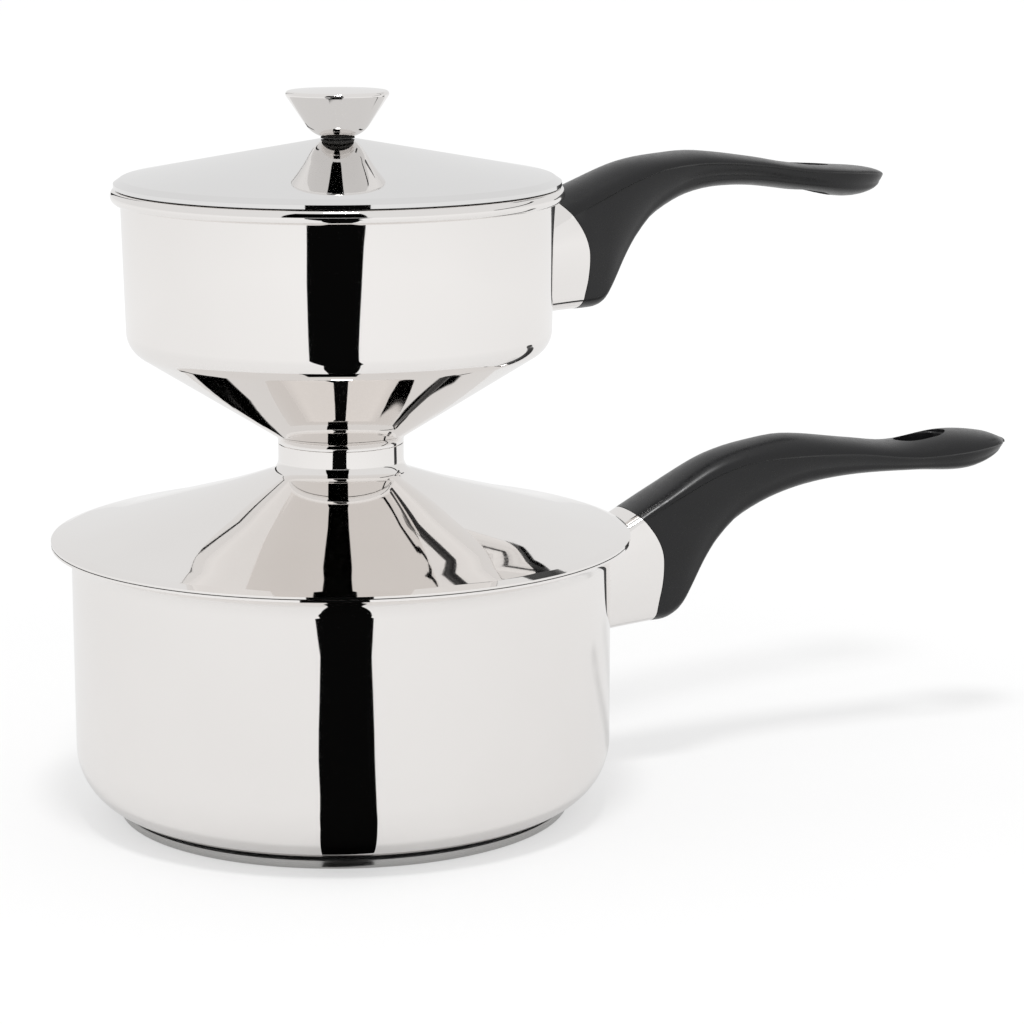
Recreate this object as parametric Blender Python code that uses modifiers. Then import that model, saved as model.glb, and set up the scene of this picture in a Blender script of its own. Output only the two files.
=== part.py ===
"""Couscous steamer: a saucepan, a funnel-shaped steaming pan with its plate, and a lid.

Units are metres and +Z is up. The origin is the centre of the base's underside, and the saucepan's
handle points along +X. The steaming pan lifts off the saucepan, the plate lifts inside the bowl and
the lid lifts off the bowl, each straight up.
"""

import bmesh
import bpy
from collections import namedtuple
from math import atan2, cos, pi, radians, sin, tan
from mathutils import Matrix, Vector

# Fits and sheet
GAP = 0.0003                 # between pieces that touch or are bonded
SHEET = 0.0008               # pressed steel of the pans and the lid
SLIP_FIT = 0.0005            # between pieces that lift apart

# Bonded base
BASE_RADIUS = 0.0843
BASE_CAP_SHEET = 0.0005
BASE_CAP_HEIGHT = 0.0032
BASE_CAP_EDGE = 0.0012       # rounding at the cap's foot
BASE_CORE_THICKNESS = 0.0021

# Saucepan
PAN_RADIUS = 0.100           # outside of the wall
PAN_HEIGHT = 0.103           # top of the rim above the ground
PAN_CORNER = 0.023           # outside radius between floor and wall
PAN_FLARE = 0.0074           # outside radius of the pouring rim

# Skirt of the steaming pan
SKIRT_EDGE_ROLL = 0.0012     # how far the outer edge turns down
SKIRT_EDGE_WIDTH = 0.0034
SKIRT_BREAK_INSET = 0.0174   # from the rim, where the flat outer slope and the main slope would meet
SKIRT_BREAK_RISE = 0.0044    # above the skirt's edge, as the two rises below
SKIRT_BREAK_FILLET = 0.22
SKIRT_BEND_OFFSET = 0.0218   # from the neck, where the main slope and the steep one would meet
SKIRT_BEND_RISE = 0.0169
SKIRT_BEND_FILLET = 0.36
SKIRT_NECK_RISE = 0.0247
SKIRT_NECK_CORNER = 0.0055
LOCATING_RING_DEPTH = 0.008  # below the saucepan's rim

# Neck and bowl
NECK_RADIUS = 0.0232
NECK_SEAM_HEIGHT = 0.1385    # top of the skirt's neck above the ground
SPIGOT_LENGTH = 0.012
NECK_CORNER = 0.003
CONE_FOOT_RISE = 0.0024      # cone's corner above the seam
BOWL_RADIUS = 0.0792         # outside of the wall below the bead
WALL_TAPER = 0.0012          # how far the wall draws in down to the shoulder
SHOULDER_RISE = 0.0345       # shoulder corner above the cone's foot
SHOULDER_CORNER = 0.010
BOWL_RISE = 0.0553           # bead centre above the shoulder corner
BEAD_HALF_WIDTH = 0.0022
BEAD_HALF_HEIGHT = 0.00265

# Perforated plate
PLATE_INSET = 0.0045         # plate's edge inside the shoulder corner
PLATE_THICKNESS = 0.0010
PLATE_LIP = 0.0030           # depth of the turned-down edge
HOLE_RADIUS = 0.0018
HOLE_PITCH = 0.0150          # between rings of holes
HOLE_RINGS = 4
HOLES_PER_RING_STEP = 6

# Lid
LID_OVERHANG = 0.0024        # rim outside the bowl's wall
LID_RIM_THICKNESS = 0.0014
LID_EDGE_RISE = 0.0032       # start of the cone above the rim's underside
LID_EDGE_WIDTH = 0.0026
LID_EDGE_CORNER = 0.002
LID_CONE_RISE = 0.0135
LID_FLAT_RADIUS = 0.0072     # flat seat of the knob
LID_FLANGE_DEPTH = 0.0085

# Knob
KNOB_WASHER_RADIUS = 0.0062
KNOB_WASHER_THICKNESS = 0.0006
KNOB_NECK_RADIUS = 0.0066
KNOB_FOOT_RADIUS = 0.0100
KNOB_FOOT_RISE = 0.0015
KNOB_FOOT_CORNER = 0.010
KNOB_RIM_RADIUS = 0.0198
KNOB_HEIGHT = 0.0172
KNOB_CROWN_RISE = 0.0010
KNOB_RIM_CORNER = 0.0012
KNOB_SCREW_RADIUS = 0.0020
KNOB_SCREW_LENGTH = 0.0125
KNOB_SCREW_HEAD_RADIUS = 0.0040
KNOB_SCREW_HEAD_HEIGHT = 0.0022
NUT_PLATE_RADIUS = 0.0070
NUT_PLATE_THICKNESS = 0.0010

# Handles, measured outwards from the wall and up from the mounting height
PAN_HANDLE_HEIGHT = 0.097
PAN_HANDLE_AZIMUTH = radians(0.0)
STEAMER_HANDLE_BELOW_RIM = 0.0177
STEAMER_HANDLE_AZIMUTH = radians(12.5)
HandleLines = namedtuple("HandleLines", "crown ridge belly")
PAN_HANDLE_LINES = HandleLines(
    crown=((-0.006, -0.0040), (0.000, -0.0012), (0.008, 0.0022), (0.017, 0.0066), (0.029, 0.0131),
           (0.053, 0.0254), (0.078, 0.0306), (0.090, 0.0308), (0.116, 0.0271), (0.135, 0.0248),
           (0.160, 0.0273), (0.1775, 0.0255), (0.1865, 0.0222)),
    ridge=((-0.006, -0.0102), (0.000, -0.0076), (0.012, -0.0008), (0.024, 0.0058), (0.034, 0.0108),
           (0.052, 0.0187), (0.067, 0.0226), (0.089, 0.0235), (0.114, 0.0224), (0.140, 0.0194),
           (0.160, 0.0201), (0.1785, 0.0214), (0.1865, 0.0210)),
    belly=((-0.006, -0.0415), (0.010, -0.0398), (0.0265, -0.0384), (0.032, -0.0381), (0.0365, -0.0361),
           (0.0394, -0.0333), (0.0424, -0.0284), (0.0486, -0.0173), (0.0548, -0.0089), (0.0645, -0.0003),
           (0.085, 0.0081), (0.110, 0.0122), (0.142, 0.0126), (0.165, 0.0116), (0.1775, 0.0147),
           (0.1865, 0.0197)))
STEAMER_HANDLE_LINES = HandleLines(
    crown=((-0.006, 0.0020), (0.000, 0.0047), (0.008, 0.0077), (0.017, 0.0110), (0.029, 0.0150),
           (0.053, 0.0220), (0.078, 0.0241), (0.090, 0.0239), (0.116, 0.0203), (0.135, 0.0169),
           (0.160, 0.0144), (0.1775, 0.0126), (0.1865, 0.0097)),
    ridge=((-0.006, -0.0076), (0.000, -0.0052), (0.012, 0.0004), (0.024, 0.0052), (0.034, 0.0089),
           (0.052, 0.0152), (0.067, 0.0188), (0.089, 0.0198), (0.114, 0.0176), (0.140, 0.0137),
           (0.160, 0.0122), (0.1785, 0.0104), (0.1865, 0.0085)),
    belly=((-0.006, -0.0345), (0.010, -0.0340), (0.0265, -0.0337), (0.032, -0.0338), (0.0365, -0.0335),
           (0.0394, -0.0321), (0.0424, -0.0281), (0.0486, -0.0177), (0.0548, -0.0092), (0.0645, -0.0002),
           (0.085, 0.0078), (0.110, 0.0091), (0.142, 0.0049), (0.165, 0.0013), (0.1775, 0.0024),
           (0.1865, 0.0062)))
RIDGE_HALF_WIDTH = ((-0.006, 0.0125), (0.030, 0.0122), (0.050, 0.0115), (0.100, 0.0115), (0.130, 0.0121),
                    (0.158, 0.0150), (0.172, 0.0137), (0.181, 0.0096), (0.1860, 0.0030))
BELLY_HALF_WIDTH = ((-0.006, 0.0100), (0.030, 0.0092), (0.060, 0.0078), (0.110, 0.0082), (0.136, 0.0098),
                    (0.158, 0.0126), (0.172, 0.0110), (0.181, 0.0072), (0.1860, 0.0020))
SEAM_LINE = ((0.0100, 0.0200), (0.0140, 0.0120), (0.0165, 0.0070), (0.0210, 0.0020), (0.0250, -0.0035),
             (0.0275, -0.0090), (0.0283, -0.0140), (0.0282, -0.0220), (0.0273, -0.0290), (0.0258, -0.0440))
RIDGE_UNDERCUT = 0.0006      # step in under the ridge
UNDERCUT_START = 0.018       # from the wall, fading out as far before the tip
RIDGE_LINE_WIDTH = 0.0002    # ridge's edge where the step has faded out
SIDE_SWELL = 0.03            # fullness of the sides, as a share of their height
BELLY_ROUND = 0.0060
BELLY_SHARE = 0.45           # most of the sides' height that the round takes
FERRULE_SHEET = 0.0010
GRIP_SPIGOT_LENGTH = 0.005
TONGUE_END = 0.0437
TONGUE_WIDTH = 0.012
TONGUE_HEIGHT = 0.005
TONGUE_DROP = 0.012          # tongue's middle below the mounting height
PAD_WIDTH = 0.016
PAD_HEIGHT = 0.024
PAD_THICKNESS = 0.0020
PAD_DROP = 0.0170
EYE_FROM_TIP = 0.0390
EYE_HALF_LENGTH = 0.0110
EYE_HALF_WIDTH = 0.0062
HANDLE_SCREW_REACH = 0.0340  # from the wall
HANDLE_SCREW_RADIUS = 0.0019
HANDLE_SCREW_HEAD_RADIUS = 0.0034
HANDLE_SCREW_HEAD_HEIGHT = 0.0026
HANDLE_SCREW_SEAT = 0.0265   # counterbore's end below the mounting height

# Along the handle, from the wall
HANDLE_BACK = -0.006         # inside the wall, before it is cut back
HEEL_BEND_START = 0.030
HEEL_BEND_END = 0.054
GRIP_SWELL_START = 0.130
TIP_ROUND_START = 0.172
SPIGOT_REACH = 0.040

# Facets
TURNED_SEGMENTS = 40
SMALL_SEGMENTS = 24
HOLE_SEGMENTS = 6

SAME_POINT = 0.00001
CLEAR = 0.01                 # how far a cutter runs past what it cuts

PARTS = "couscous_steamer"
CUTTERS = "cutters"

# Sizes that follow from those above
CORE_FOOT = BASE_CAP_SHEET + GAP
PAN_FLOOR = CORE_FOOT + BASE_CORE_THICKNESS + GAP
RIM_RADIUS = PAN_RADIUS + PAN_FLARE
SHOULDER_RADIUS = BOWL_RADIUS - WALL_TAPER
PLATE_RADIUS = SHOULDER_RADIUS - PLATE_INSET
LID_RIM_RADIUS = BOWL_RADIUS + LID_OVERHANG
SKIRT_FOOT = PAN_HEIGHT + GAP
CONE_FOOT = NECK_SEAM_HEIGHT + CONE_FOOT_RISE
SHOULDER_HEIGHT = CONE_FOOT + SHOULDER_RISE
BEAD_HEIGHT = SHOULDER_HEIGHT + BOWL_RISE
BEAD_TOP = BEAD_HEIGHT + BEAD_HALF_HEIGHT
LID_FOOT = BEAD_TOP + GAP
LID_TOP = LID_FOOT + LID_EDGE_RISE + LID_CONE_RISE
KNOB_FOOT = LID_TOP + GAP + KNOB_WASHER_THICKNESS + GAP


def clear_scene():
    """Remove every object, so that the script can be run again in an open file."""
    for obj in list(bpy.data.objects):
        bpy.data.objects.remove(obj, do_unlink=True)


def new_collection(name):
    """Return the scene's collection of that name, made new if it is missing."""
    collection = bpy.data.collections.get(name) or bpy.data.collections.new(name)
    if collection.name not in bpy.context.scene.collection.children:
        bpy.context.scene.collection.children.link(collection)
    return collection


def new_material(name, colour, metallic, roughness):
    """Make a Principled material."""
    material = bpy.data.materials.new(name)
    material.use_nodes = True
    shader = material.node_tree.nodes["Principled BSDF"]
    shader.inputs["Base Color"].default_value = (*colour, 1.0)
    shader.inputs["Metallic"].default_value = metallic
    shader.inputs["Roughness"].default_value = roughness
    material.diffuse_color = (*colour, 1.0)
    return material


def polished_steel(name):
    return new_material(name, (0.80, 0.79, 0.77), 1.0, 0.04)


def satin_steel(name):
    return new_material(name, (0.62, 0.61, 0.60), 1.0, 0.30)


def aluminium(name):
    return new_material(name, (0.70, 0.71, 0.72), 1.0, 0.45)


def black_moulding(name):
    return new_material(name, (0.022, 0.022, 0.024), 0.0, 0.32)


def grey_fibre(name):
    return new_material(name, (0.05, 0.05, 0.05), 0.0, 0.6)


def add_object(name, mesh, material=None, parent=None):
    """Put a mesh in the parts collection as one named piece."""
    obj = bpy.data.objects.new(name, mesh)
    bpy.data.collections[PARTS].objects.link(obj)
    if material:
        obj.data.materials.clear()
        obj.data.materials.append(material)
    obj.parent = parent
    return obj


def add_cutter(name, mesh):
    """Put a mesh in the cutters collection, out of the render."""
    obj = bpy.data.objects.new(name, mesh)
    bpy.data.collections[CUTTERS].objects.link(obj)
    obj.hide_render = True
    obj.display_type = "WIRE"
    return obj


def add_body(name):
    """Make the empty that a rigid body hangs from, on the common axis."""
    body = bpy.data.objects.new(name, None)
    bpy.data.collections[PARTS].objects.link(body)
    return body


def boolean(target, cutter, operation="DIFFERENCE"):
    """Cut, join or trim an object with another."""
    modifier = target.modifiers.new(cutter.name, "BOOLEAN")
    modifier.operation = operation
    modifier.solver = "EXACT"
    modifier.object = cutter


def freeze(obj):
    """Return an object's finished mesh, with its modifiers worked in."""
    bpy.context.view_layer.update()
    depsgraph = bpy.context.evaluated_depsgraph_get()
    mesh = bpy.data.meshes.new_from_object(obj.evaluated_get(depsgraph))
    mesh.name = obj.name
    return mesh


def smooth(mesh, angle=radians(35)):
    """Shade a mesh smooth, keeping its edges crisp."""
    mesh.shade_smooth()
    mesh.set_sharp_from_angle(angle=angle)
    return mesh


def fillet(corners, steps=4):
    """Turn (radius, height, fillet) corners into points, with an arc at each filleted corner."""
    points = []
    for index, (radius, height, size) in enumerate(corners):
        corner = Vector((radius, height))
        if size == 0.0:
            points.append(corner)
            continue
        back = (Vector(corners[index - 1][:2]) - corner).normalized()
        ahead = (Vector(corners[index + 1][:2]) - corner).normalized()
        half = back.angle(ahead) / 2
        reach = size / tan(half)
        centre = corner + (back + ahead).normalized() * (size / sin(half))
        first = corner + back * reach - centre
        sweep = (corner + ahead * reach - centre).angle_signed(first)
        for step in range(steps + 1):
            turn = sweep * step / steps
            points.append(centre + Matrix.Rotation(turn, 2) @ first)
    apart = [points[0]]
    for point in points[1:]:
        if (point - apart[-1]).length > SAME_POINT:
            apart.append(point)
    return apart


def offset_path(path, distance):
    """Shift an outline to its left by a distance."""
    shifted = []
    for index, point in enumerate(path):
        normals = []
        for start, end in ((index - 1, index), (index, index + 1)):
            if start >= 0 and end < len(path):
                run = (path[end] - path[start]).normalized()
                normals.append(Vector((-run.y, run.x)))
        normal = sum(normals, Vector((0, 0)))
        if len(normals) == 2:
            normal /= 1 + normals[0].dot(normals[1])
        shifted.append(point + normal * distance)
    return shifted


def height_at(path, radius):
    """Height of an outline that widens past a radius."""
    for inner, outer in zip(path, path[1:]):
        if inner.x <= radius <= outer.x and outer.x > inner.x:
            share = (radius - inner.x) / (outer.x - inner.x)
            return inner.y + (outer.y - inner.y) * share
    raise ValueError("the outline does not pass this radius")


def turned_mesh(name, profile, closed, segments=TURNED_SEGMENTS):
    """Turn a (radius, height) profile about the axis; it runs down its outer side."""
    count = len(profile)
    edges = [(index, index + 1) for index in range(count - 1)]
    if closed:
        edges.append((count - 1, 0))
    mesh = bpy.data.meshes.new(name)
    mesh.from_pydata([(point[0], 0.0, point[1]) for point in profile], edges, [])
    blank = add_cutter(name + "_profile", mesh)
    screw = blank.modifiers.new("turn", "SCREW")
    screw.axis = "Z"
    screw.angle = 2 * pi
    screw.steps = segments
    screw.render_steps = segments
    screw.use_merge_vertices = True
    screw.merge_threshold = SAME_POINT
    result = freeze(blank)
    result.name = name
    bpy.data.objects.remove(blank, do_unlink=True)
    return smooth(result)


def box_mesh(name, low, high):
    """A box between two corners."""
    mesh = bpy.data.meshes.new(name)
    box = bmesh.new()
    bmesh.ops.create_cube(box, size=1.0)
    low, high = Vector(low), Vector(high)
    bmesh.ops.scale(box, vec=high - low, verts=box.verts)
    bmesh.ops.translate(box, vec=(low + high) / 2, verts=box.verts)
    box.to_mesh(mesh)
    box.free()
    return mesh


def cylinder_mesh(name, radii, foot, top, centre=(0.0, 0.0), segments=SMALL_SEGMENTS):
    """An upright round or oval cylinder with two half-widths."""
    mesh = bpy.data.meshes.new(name)
    cylinder = bmesh.new()
    bmesh.ops.create_cone(cylinder, cap_ends=True, segments=segments, radius1=1.0, radius2=1.0, depth=1.0)
    bmesh.ops.scale(cylinder, vec=(radii[0], radii[1], top - foot), verts=cylinder.verts)
    bmesh.ops.translate(cylinder, vec=(centre[0], centre[1], (foot + top) / 2), verts=cylinder.verts)
    cylinder.to_mesh(mesh)
    cylinder.free()
    return mesh


# Outlines of the sheet-metal shells, each walked on its outer side from the foot upwards

def pan_outline():
    """Saucepan's outside, from the axis along the floor and up to the rim's edge."""
    rim_underside = PAN_HEIGHT - SHEET
    return fillet([
        (0.0, PAN_FLOOR, 0.0),
        (PAN_RADIUS, PAN_FLOOR, PAN_CORNER),
        (PAN_RADIUS, rim_underside, PAN_FLARE),
        (RIM_RADIUS, rim_underside, 0.0),
    ])


def skirt_outline():
    """Skirt's upper side, from its edge on the saucepan's rim to the neck seam."""
    edge_height = SKIRT_FOOT + SHEET
    return fillet([
        (RIM_RADIUS, edge_height, 0.0),
        (RIM_RADIUS - SKIRT_EDGE_WIDTH, edge_height + SKIRT_EDGE_ROLL, 0.0),
        (RIM_RADIUS - SKIRT_BREAK_INSET, edge_height + SKIRT_BREAK_RISE, SKIRT_BREAK_FILLET),
        (NECK_RADIUS + SKIRT_BEND_OFFSET, edge_height + SKIRT_BEND_RISE, SKIRT_BEND_FILLET),
        (NECK_RADIUS, edge_height + SKIRT_NECK_RISE, SKIRT_NECK_CORNER),
        (NECK_RADIUS, NECK_SEAM_HEIGHT, 0.0),
    ])


def bowl_outline():
    """Bowl's outside, from the neck seam up the cone and the wall to under the bead."""
    return fillet([
        (NECK_RADIUS, NECK_SEAM_HEIGHT, 0.0),
        (NECK_RADIUS, CONE_FOOT, NECK_CORNER),
        (SHOULDER_RADIUS, SHOULDER_HEIGHT, SHOULDER_CORNER),
        (BOWL_RADIUS, BEAD_HEIGHT, 0.0),
    ])


def bead_arc():
    """Rolled rim, from its inner side over the top to where it meets the wall outside."""
    centre = Vector((BOWL_RADIUS - SHEET + BEAD_HALF_WIDTH, BEAD_HEIGHT))
    meets_wall = (BOWL_RADIUS - centre.x) / BEAD_HALF_WIDTH
    start = pi
    end = -pi + atan2((1 - meets_wall ** 2) ** 0.5, -meets_wall)
    steps = 6
    points = []
    for step in range(steps + 1):
        turn = start + (end - start) * step / steps
        points.append(centre + Vector((BEAD_HALF_WIDTH * cos(turn), BEAD_HALF_HEIGHT * sin(turn))))
    return points


def spigot_radius():
    """Outside radius of the bowl's spigot, inside the skirt's neck."""
    return NECK_RADIUS - SHEET - GAP


def build_base(body):
    """Aluminium core and the steel cap that closes it in under the saucepan."""
    cap_outside = fillet([
        (0.0, 0.0, 0.0),
        (BASE_RADIUS, 0.0, BASE_CAP_EDGE),
        (BASE_RADIUS, BASE_CAP_HEIGHT, 0.0),
    ], steps=1)
    cap_inside = offset_path(cap_outside, BASE_CAP_SHEET)
    cap = turned_mesh("base_cap", cap_inside + cap_outside[::-1], closed=False)
    add_object("base_cap", cap, satin_steel("base_cap_steel"), body)

    core_radius = BASE_RADIUS - BASE_CAP_EDGE - BASE_CAP_SHEET - GAP
    core_top = CORE_FOOT + BASE_CORE_THICKNESS
    core = cylinder_mesh("base_core", (core_radius, core_radius), CORE_FOOT, core_top,
                         segments=TURNED_SEGMENTS)
    add_object("base_core", smooth(core), aluminium("base_core_aluminium"), body)


def build_saucepan(body):
    """Saucepan's pressed shell."""
    outside = pan_outline()
    inside = offset_path(outside, SHEET)
    shell = turned_mesh("saucepan_shell", inside + outside[::-1], closed=False)
    add_object("saucepan_shell", shell, polished_steel("saucepan_steel"), body)


def build_skirt(body):
    """Trumpet skirt, and the ring under it that centres it in the saucepan's mouth."""
    outside = skirt_outline()
    inside = offset_path(outside, SHEET)
    inside[0].x = RIM_RADIUS
    skirt = turned_mesh("steamer_skirt", outside[::-1] + inside, closed=True)
    add_object("steamer_skirt", skirt, polished_steel("skirt_steel"), body)

    ring_outer = PAN_RADIUS - SHEET - SLIP_FIT
    ring_inner = ring_outer - SHEET
    ring_top = height_at(inside[::-1], ring_outer) - GAP
    ring_foot = PAN_HEIGHT - LOCATING_RING_DEPTH
    profile = [(ring_outer, ring_top), (ring_outer, ring_foot), (ring_inner, ring_foot),
               (ring_inner, ring_top)]
    ring = turned_mesh("locating_ring", profile, closed=True)
    add_object("locating_ring", ring, satin_steel("locating_ring_steel"), body)


def build_bowl(body):
    """Bowl with its cone, rolled rim and the spigot inside the skirt's neck."""
    outside = bowl_outline()
    inside = offset_path(outside, SHEET)
    inside[-1] = Vector((BOWL_RADIUS - SHEET, BEAD_HEIGHT))
    spigot_outer = spigot_radius()
    spigot_inner = spigot_outer - SHEET
    spigot_foot = NECK_SEAM_HEIGHT - SPIGOT_LENGTH
    seam_face = NECK_SEAM_HEIGHT + GAP
    outside[0] = Vector((NECK_RADIUS, seam_face))
    inner_wall = inside[:-1]
    inner_wall[0] = Vector((spigot_inner, seam_face + SHEET))
    spigot = [Vector((spigot_outer, seam_face)), Vector((spigot_outer, spigot_foot)),
              Vector((spigot_inner, spigot_foot))]
    profile = bead_arc() + outside[-2::-1] + spigot + inner_wall
    bowl = turned_mesh("steamer_bowl", profile, closed=True)
    add_object("steamer_bowl", bowl, polished_steel("bowl_steel"), body)


def build_plate(body):
    """Perforated plate that rests on the shoulder inside the bowl."""
    inside = offset_path(bowl_outline(), SHEET)
    foot = height_at(inside, PLATE_RADIUS) + GAP
    top = foot + PLATE_LIP
    profile = [
        (0.0, top),
        (PLATE_RADIUS - PLATE_THICKNESS, top),
        (PLATE_RADIUS, top - PLATE_THICKNESS),
        (PLATE_RADIUS, foot),
        (PLATE_RADIUS - PLATE_THICKNESS, foot),
        (PLATE_RADIUS - PLATE_THICKNESS, top - PLATE_THICKNESS),
        (0.0, top - PLATE_THICKNESS),
    ]
    plate = add_object("perforated_plate", turned_mesh("perforated_plate", profile, closed=False),
                       satin_steel("plate_steel"), body)
    punches = bmesh.new()
    for ring in range(HOLE_RINGS + 1):
        count = max(1, ring * HOLES_PER_RING_STEP)
        for index in range(count):
            turn = 2 * pi * index / count
            spot = (ring * HOLE_PITCH * cos(turn), ring * HOLE_PITCH * sin(turn))
            punch = cylinder_mesh("punch", (HOLE_RADIUS, HOLE_RADIUS), top - 2 * PLATE_LIP,
                                  top + PLATE_LIP, spot, HOLE_SEGMENTS)
            punches.from_mesh(punch)
            bpy.data.meshes.remove(punch)
    mesh = bpy.data.meshes.new("plate_punches")
    punches.to_mesh(mesh)
    punches.free()
    boolean(plate, add_cutter("plate_punches", mesh))


def build_lid(body):
    """Conical lid whose rim lies on the bead and whose flange drops inside the bowl."""
    cone_edge = LID_RIM_RADIUS - LID_EDGE_WIDTH
    cone_foot = LID_FOOT + LID_EDGE_RISE
    hole = KNOB_SCREW_RADIUS + GAP
    top_side = fillet([
        (hole, LID_TOP, 0.0),
        (LID_FLAT_RADIUS, LID_TOP, 0.0),
        (cone_edge, cone_foot, LID_EDGE_CORNER),
        (LID_RIM_RADIUS, LID_FOOT + LID_RIM_THICKNESS, 0.0),
        (LID_RIM_RADIUS, LID_FOOT, 0.0),
    ], steps=2)
    flange_outer = BOWL_RADIUS - SHEET - SLIP_FIT
    flange_inner = flange_outer - SHEET
    flange_foot = LID_FOOT - LID_FLANGE_DEPTH
    slope = LID_CONE_RISE / (cone_edge - LID_FLAT_RADIUS)
    sheet_drop = SHEET * (1 + slope ** 2) ** 0.5
    flange_roof = cone_foot + (cone_edge - flange_inner) * slope - sheet_drop
    under_side = [
        (flange_outer, LID_FOOT),
        (flange_outer, flange_foot),
        (flange_inner, flange_foot),
        (flange_inner, flange_roof),
        (LID_FLAT_RADIUS, LID_TOP - sheet_drop),
        (hole, LID_TOP - sheet_drop),
    ]
    lid = turned_mesh("lid_shell", top_side + under_side, closed=True)
    add_object("lid_shell", lid, polished_steel("lid_steel"), body)
    return LID_TOP - sheet_drop


def build_knob(body, lid_underside):
    """Turned knob, its washer, and the nut plate and screw that hold it from inside."""
    hole = KNOB_SCREW_RADIUS + GAP
    washer_foot = LID_TOP + GAP
    washer = turned_mesh("knob_washer", [
        (hole, washer_foot + KNOB_WASHER_THICKNESS),
        (KNOB_WASHER_RADIUS, washer_foot + KNOB_WASHER_THICKNESS),
        (KNOB_WASHER_RADIUS, washer_foot),
        (hole, washer_foot),
    ], closed=True, segments=SMALL_SEGMENTS)
    add_object("knob_washer", washer, grey_fibre("knob_washer_fibre"), body)

    knob_top = KNOB_FOOT + KNOB_HEIGHT
    outside = fillet([
        (0.0, knob_top, 0.0),
        (KNOB_RIM_RADIUS, knob_top - KNOB_CROWN_RISE, KNOB_RIM_CORNER),
        (KNOB_FOOT_RADIUS, KNOB_FOOT + KNOB_FOOT_RISE, KNOB_FOOT_CORNER),
        (KNOB_NECK_RADIUS, KNOB_FOOT, 0.0),
        (hole, KNOB_FOOT, 0.0),
    ])
    screw_top = lid_underside - GAP - NUT_PLATE_THICKNESS - GAP + KNOB_SCREW_LENGTH
    bore = [(hole, screw_top + GAP), (0.0, screw_top + GAP)]
    knob = turned_mesh("lid_knob", outside + bore, closed=False, segments=SMALL_SEGMENTS)
    add_object("lid_knob", knob, polished_steel("knob_steel"), body)

    plate_top = lid_underside - GAP
    plate_foot = plate_top - NUT_PLATE_THICKNESS
    nut_plate = turned_mesh("knob_nut_plate", [
        (hole, plate_top),
        (NUT_PLATE_RADIUS, plate_top),
        (NUT_PLATE_RADIUS, plate_foot),
        (hole, plate_foot),
    ], closed=True, segments=SMALL_SEGMENTS)
    add_object("knob_nut_plate", nut_plate, satin_steel("nut_plate_steel"), body)

    head_top = plate_foot - GAP
    head_foot = head_top - KNOB_SCREW_HEAD_HEIGHT
    screw = turned_mesh("knob_screw", [
        (0.0, screw_top),
        (KNOB_SCREW_RADIUS, screw_top),
        (KNOB_SCREW_RADIUS, head_top),
        (KNOB_SCREW_HEAD_RADIUS, head_top),
        (KNOB_SCREW_HEAD_RADIUS, head_foot),
        (0.0, head_foot),
    ], closed=False, segments=SMALL_SEGMENTS)
    add_object("knob_screw", screw, satin_steel("knob_screw_steel"), body)


def curve_value(line, reach):
    """Value of a smooth line through (reach, value) points."""
    count = len(line)
    slopes = []
    for index in range(count):
        before = line[max(index - 1, 0)]
        after = line[min(index + 1, count - 1)]
        slopes.append((after[1] - before[1]) / (after[0] - before[0]))
    for index in range(count - 1):
        (start, low), (end, high) = line[index], line[index + 1]
        if reach <= end or index == count - 2:
            span = end - start
            t = min(max((reach - start) / span, 0.0), 1.0)
            return ((2 * t ** 3 - 3 * t ** 2 + 1) * low + (t ** 3 - 2 * t ** 2 + t) * span * slopes[index]
                    + (3 * t ** 2 - 2 * t ** 3) * high + (t ** 3 - t ** 2) * span * slopes[index + 1])
    raise ValueError("the line needs at least two points")


def handle_ring(lines, reach, inset):
    """Section of a handle at a distance from the wall, drawn in by an inset."""
    crown = curve_value(lines.crown, reach) - inset
    ridge = curve_value(lines.ridge, reach)
    belly = curve_value(lines.belly, reach) + inset
    half_width = curve_value(RIDGE_HALF_WIDTH, reach) - inset
    belly_half = curve_value(BELLY_HALF_WIDTH, reach) - inset
    tip_reach = lines.crown[-1][0]
    grows = (min(max(reach / UNDERCUT_START - 1, 0.0), 1.0)
             * min((tip_reach - reach) / UNDERCUT_START, 1.0))
    undercut = RIDGE_UNDERCUT * grows
    round_height = min(BELLY_ROUND, BELLY_SHARE * (ridge - belly))
    half = []
    for turn in (0, 30, 58, 78, 90):
        angle = radians(turn)
        half.append((half_width * sin(angle), ridge + (crown - ridge) * cos(angle)))
    top = Vector((half_width - undercut, ridge - max(undercut, RIDGE_LINE_WIDTH)))
    foot = Vector((belly_half, belly + round_height))
    half.append(tuple(top))
    half.append(tuple(top.lerp(foot, 0.5) + Vector((SIDE_SWELL * (ridge - belly), 0.0))))
    for turn in (0, 32, 62, 90):
        angle = radians(turn)
        half.append((belly_half * cos(angle), belly + round_height * (1 - sin(angle))))
    right = [Vector((reach, across, up)) for across, up in half]
    left = [Vector((reach, -across, up)) for across, up in half[-2:0:-1]]
    return right + left


def spaced(start, end, count):
    """Evenly spaced values, without the last."""
    return [start + (end - start) * index / count for index in range(count)]


def handle_stations(lines):
    """Where a handle's sections are taken: closest at the heel and towards the tip."""
    tip = lines.crown[-1][0]
    return (spaced(HANDLE_BACK, HEEL_BEND_START, 5) + spaced(HEEL_BEND_START, HEEL_BEND_END, 8)
            + spaced(HEEL_BEND_END, GRIP_SWELL_START, 7) + spaced(GRIP_SWELL_START, TIP_ROUND_START, 5)
            + [TIP_ROUND_START + (tip - TIP_ROUND_START) * share for share in (0.0, 0.4, 0.72, 0.91)]
            + [tip])


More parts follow.
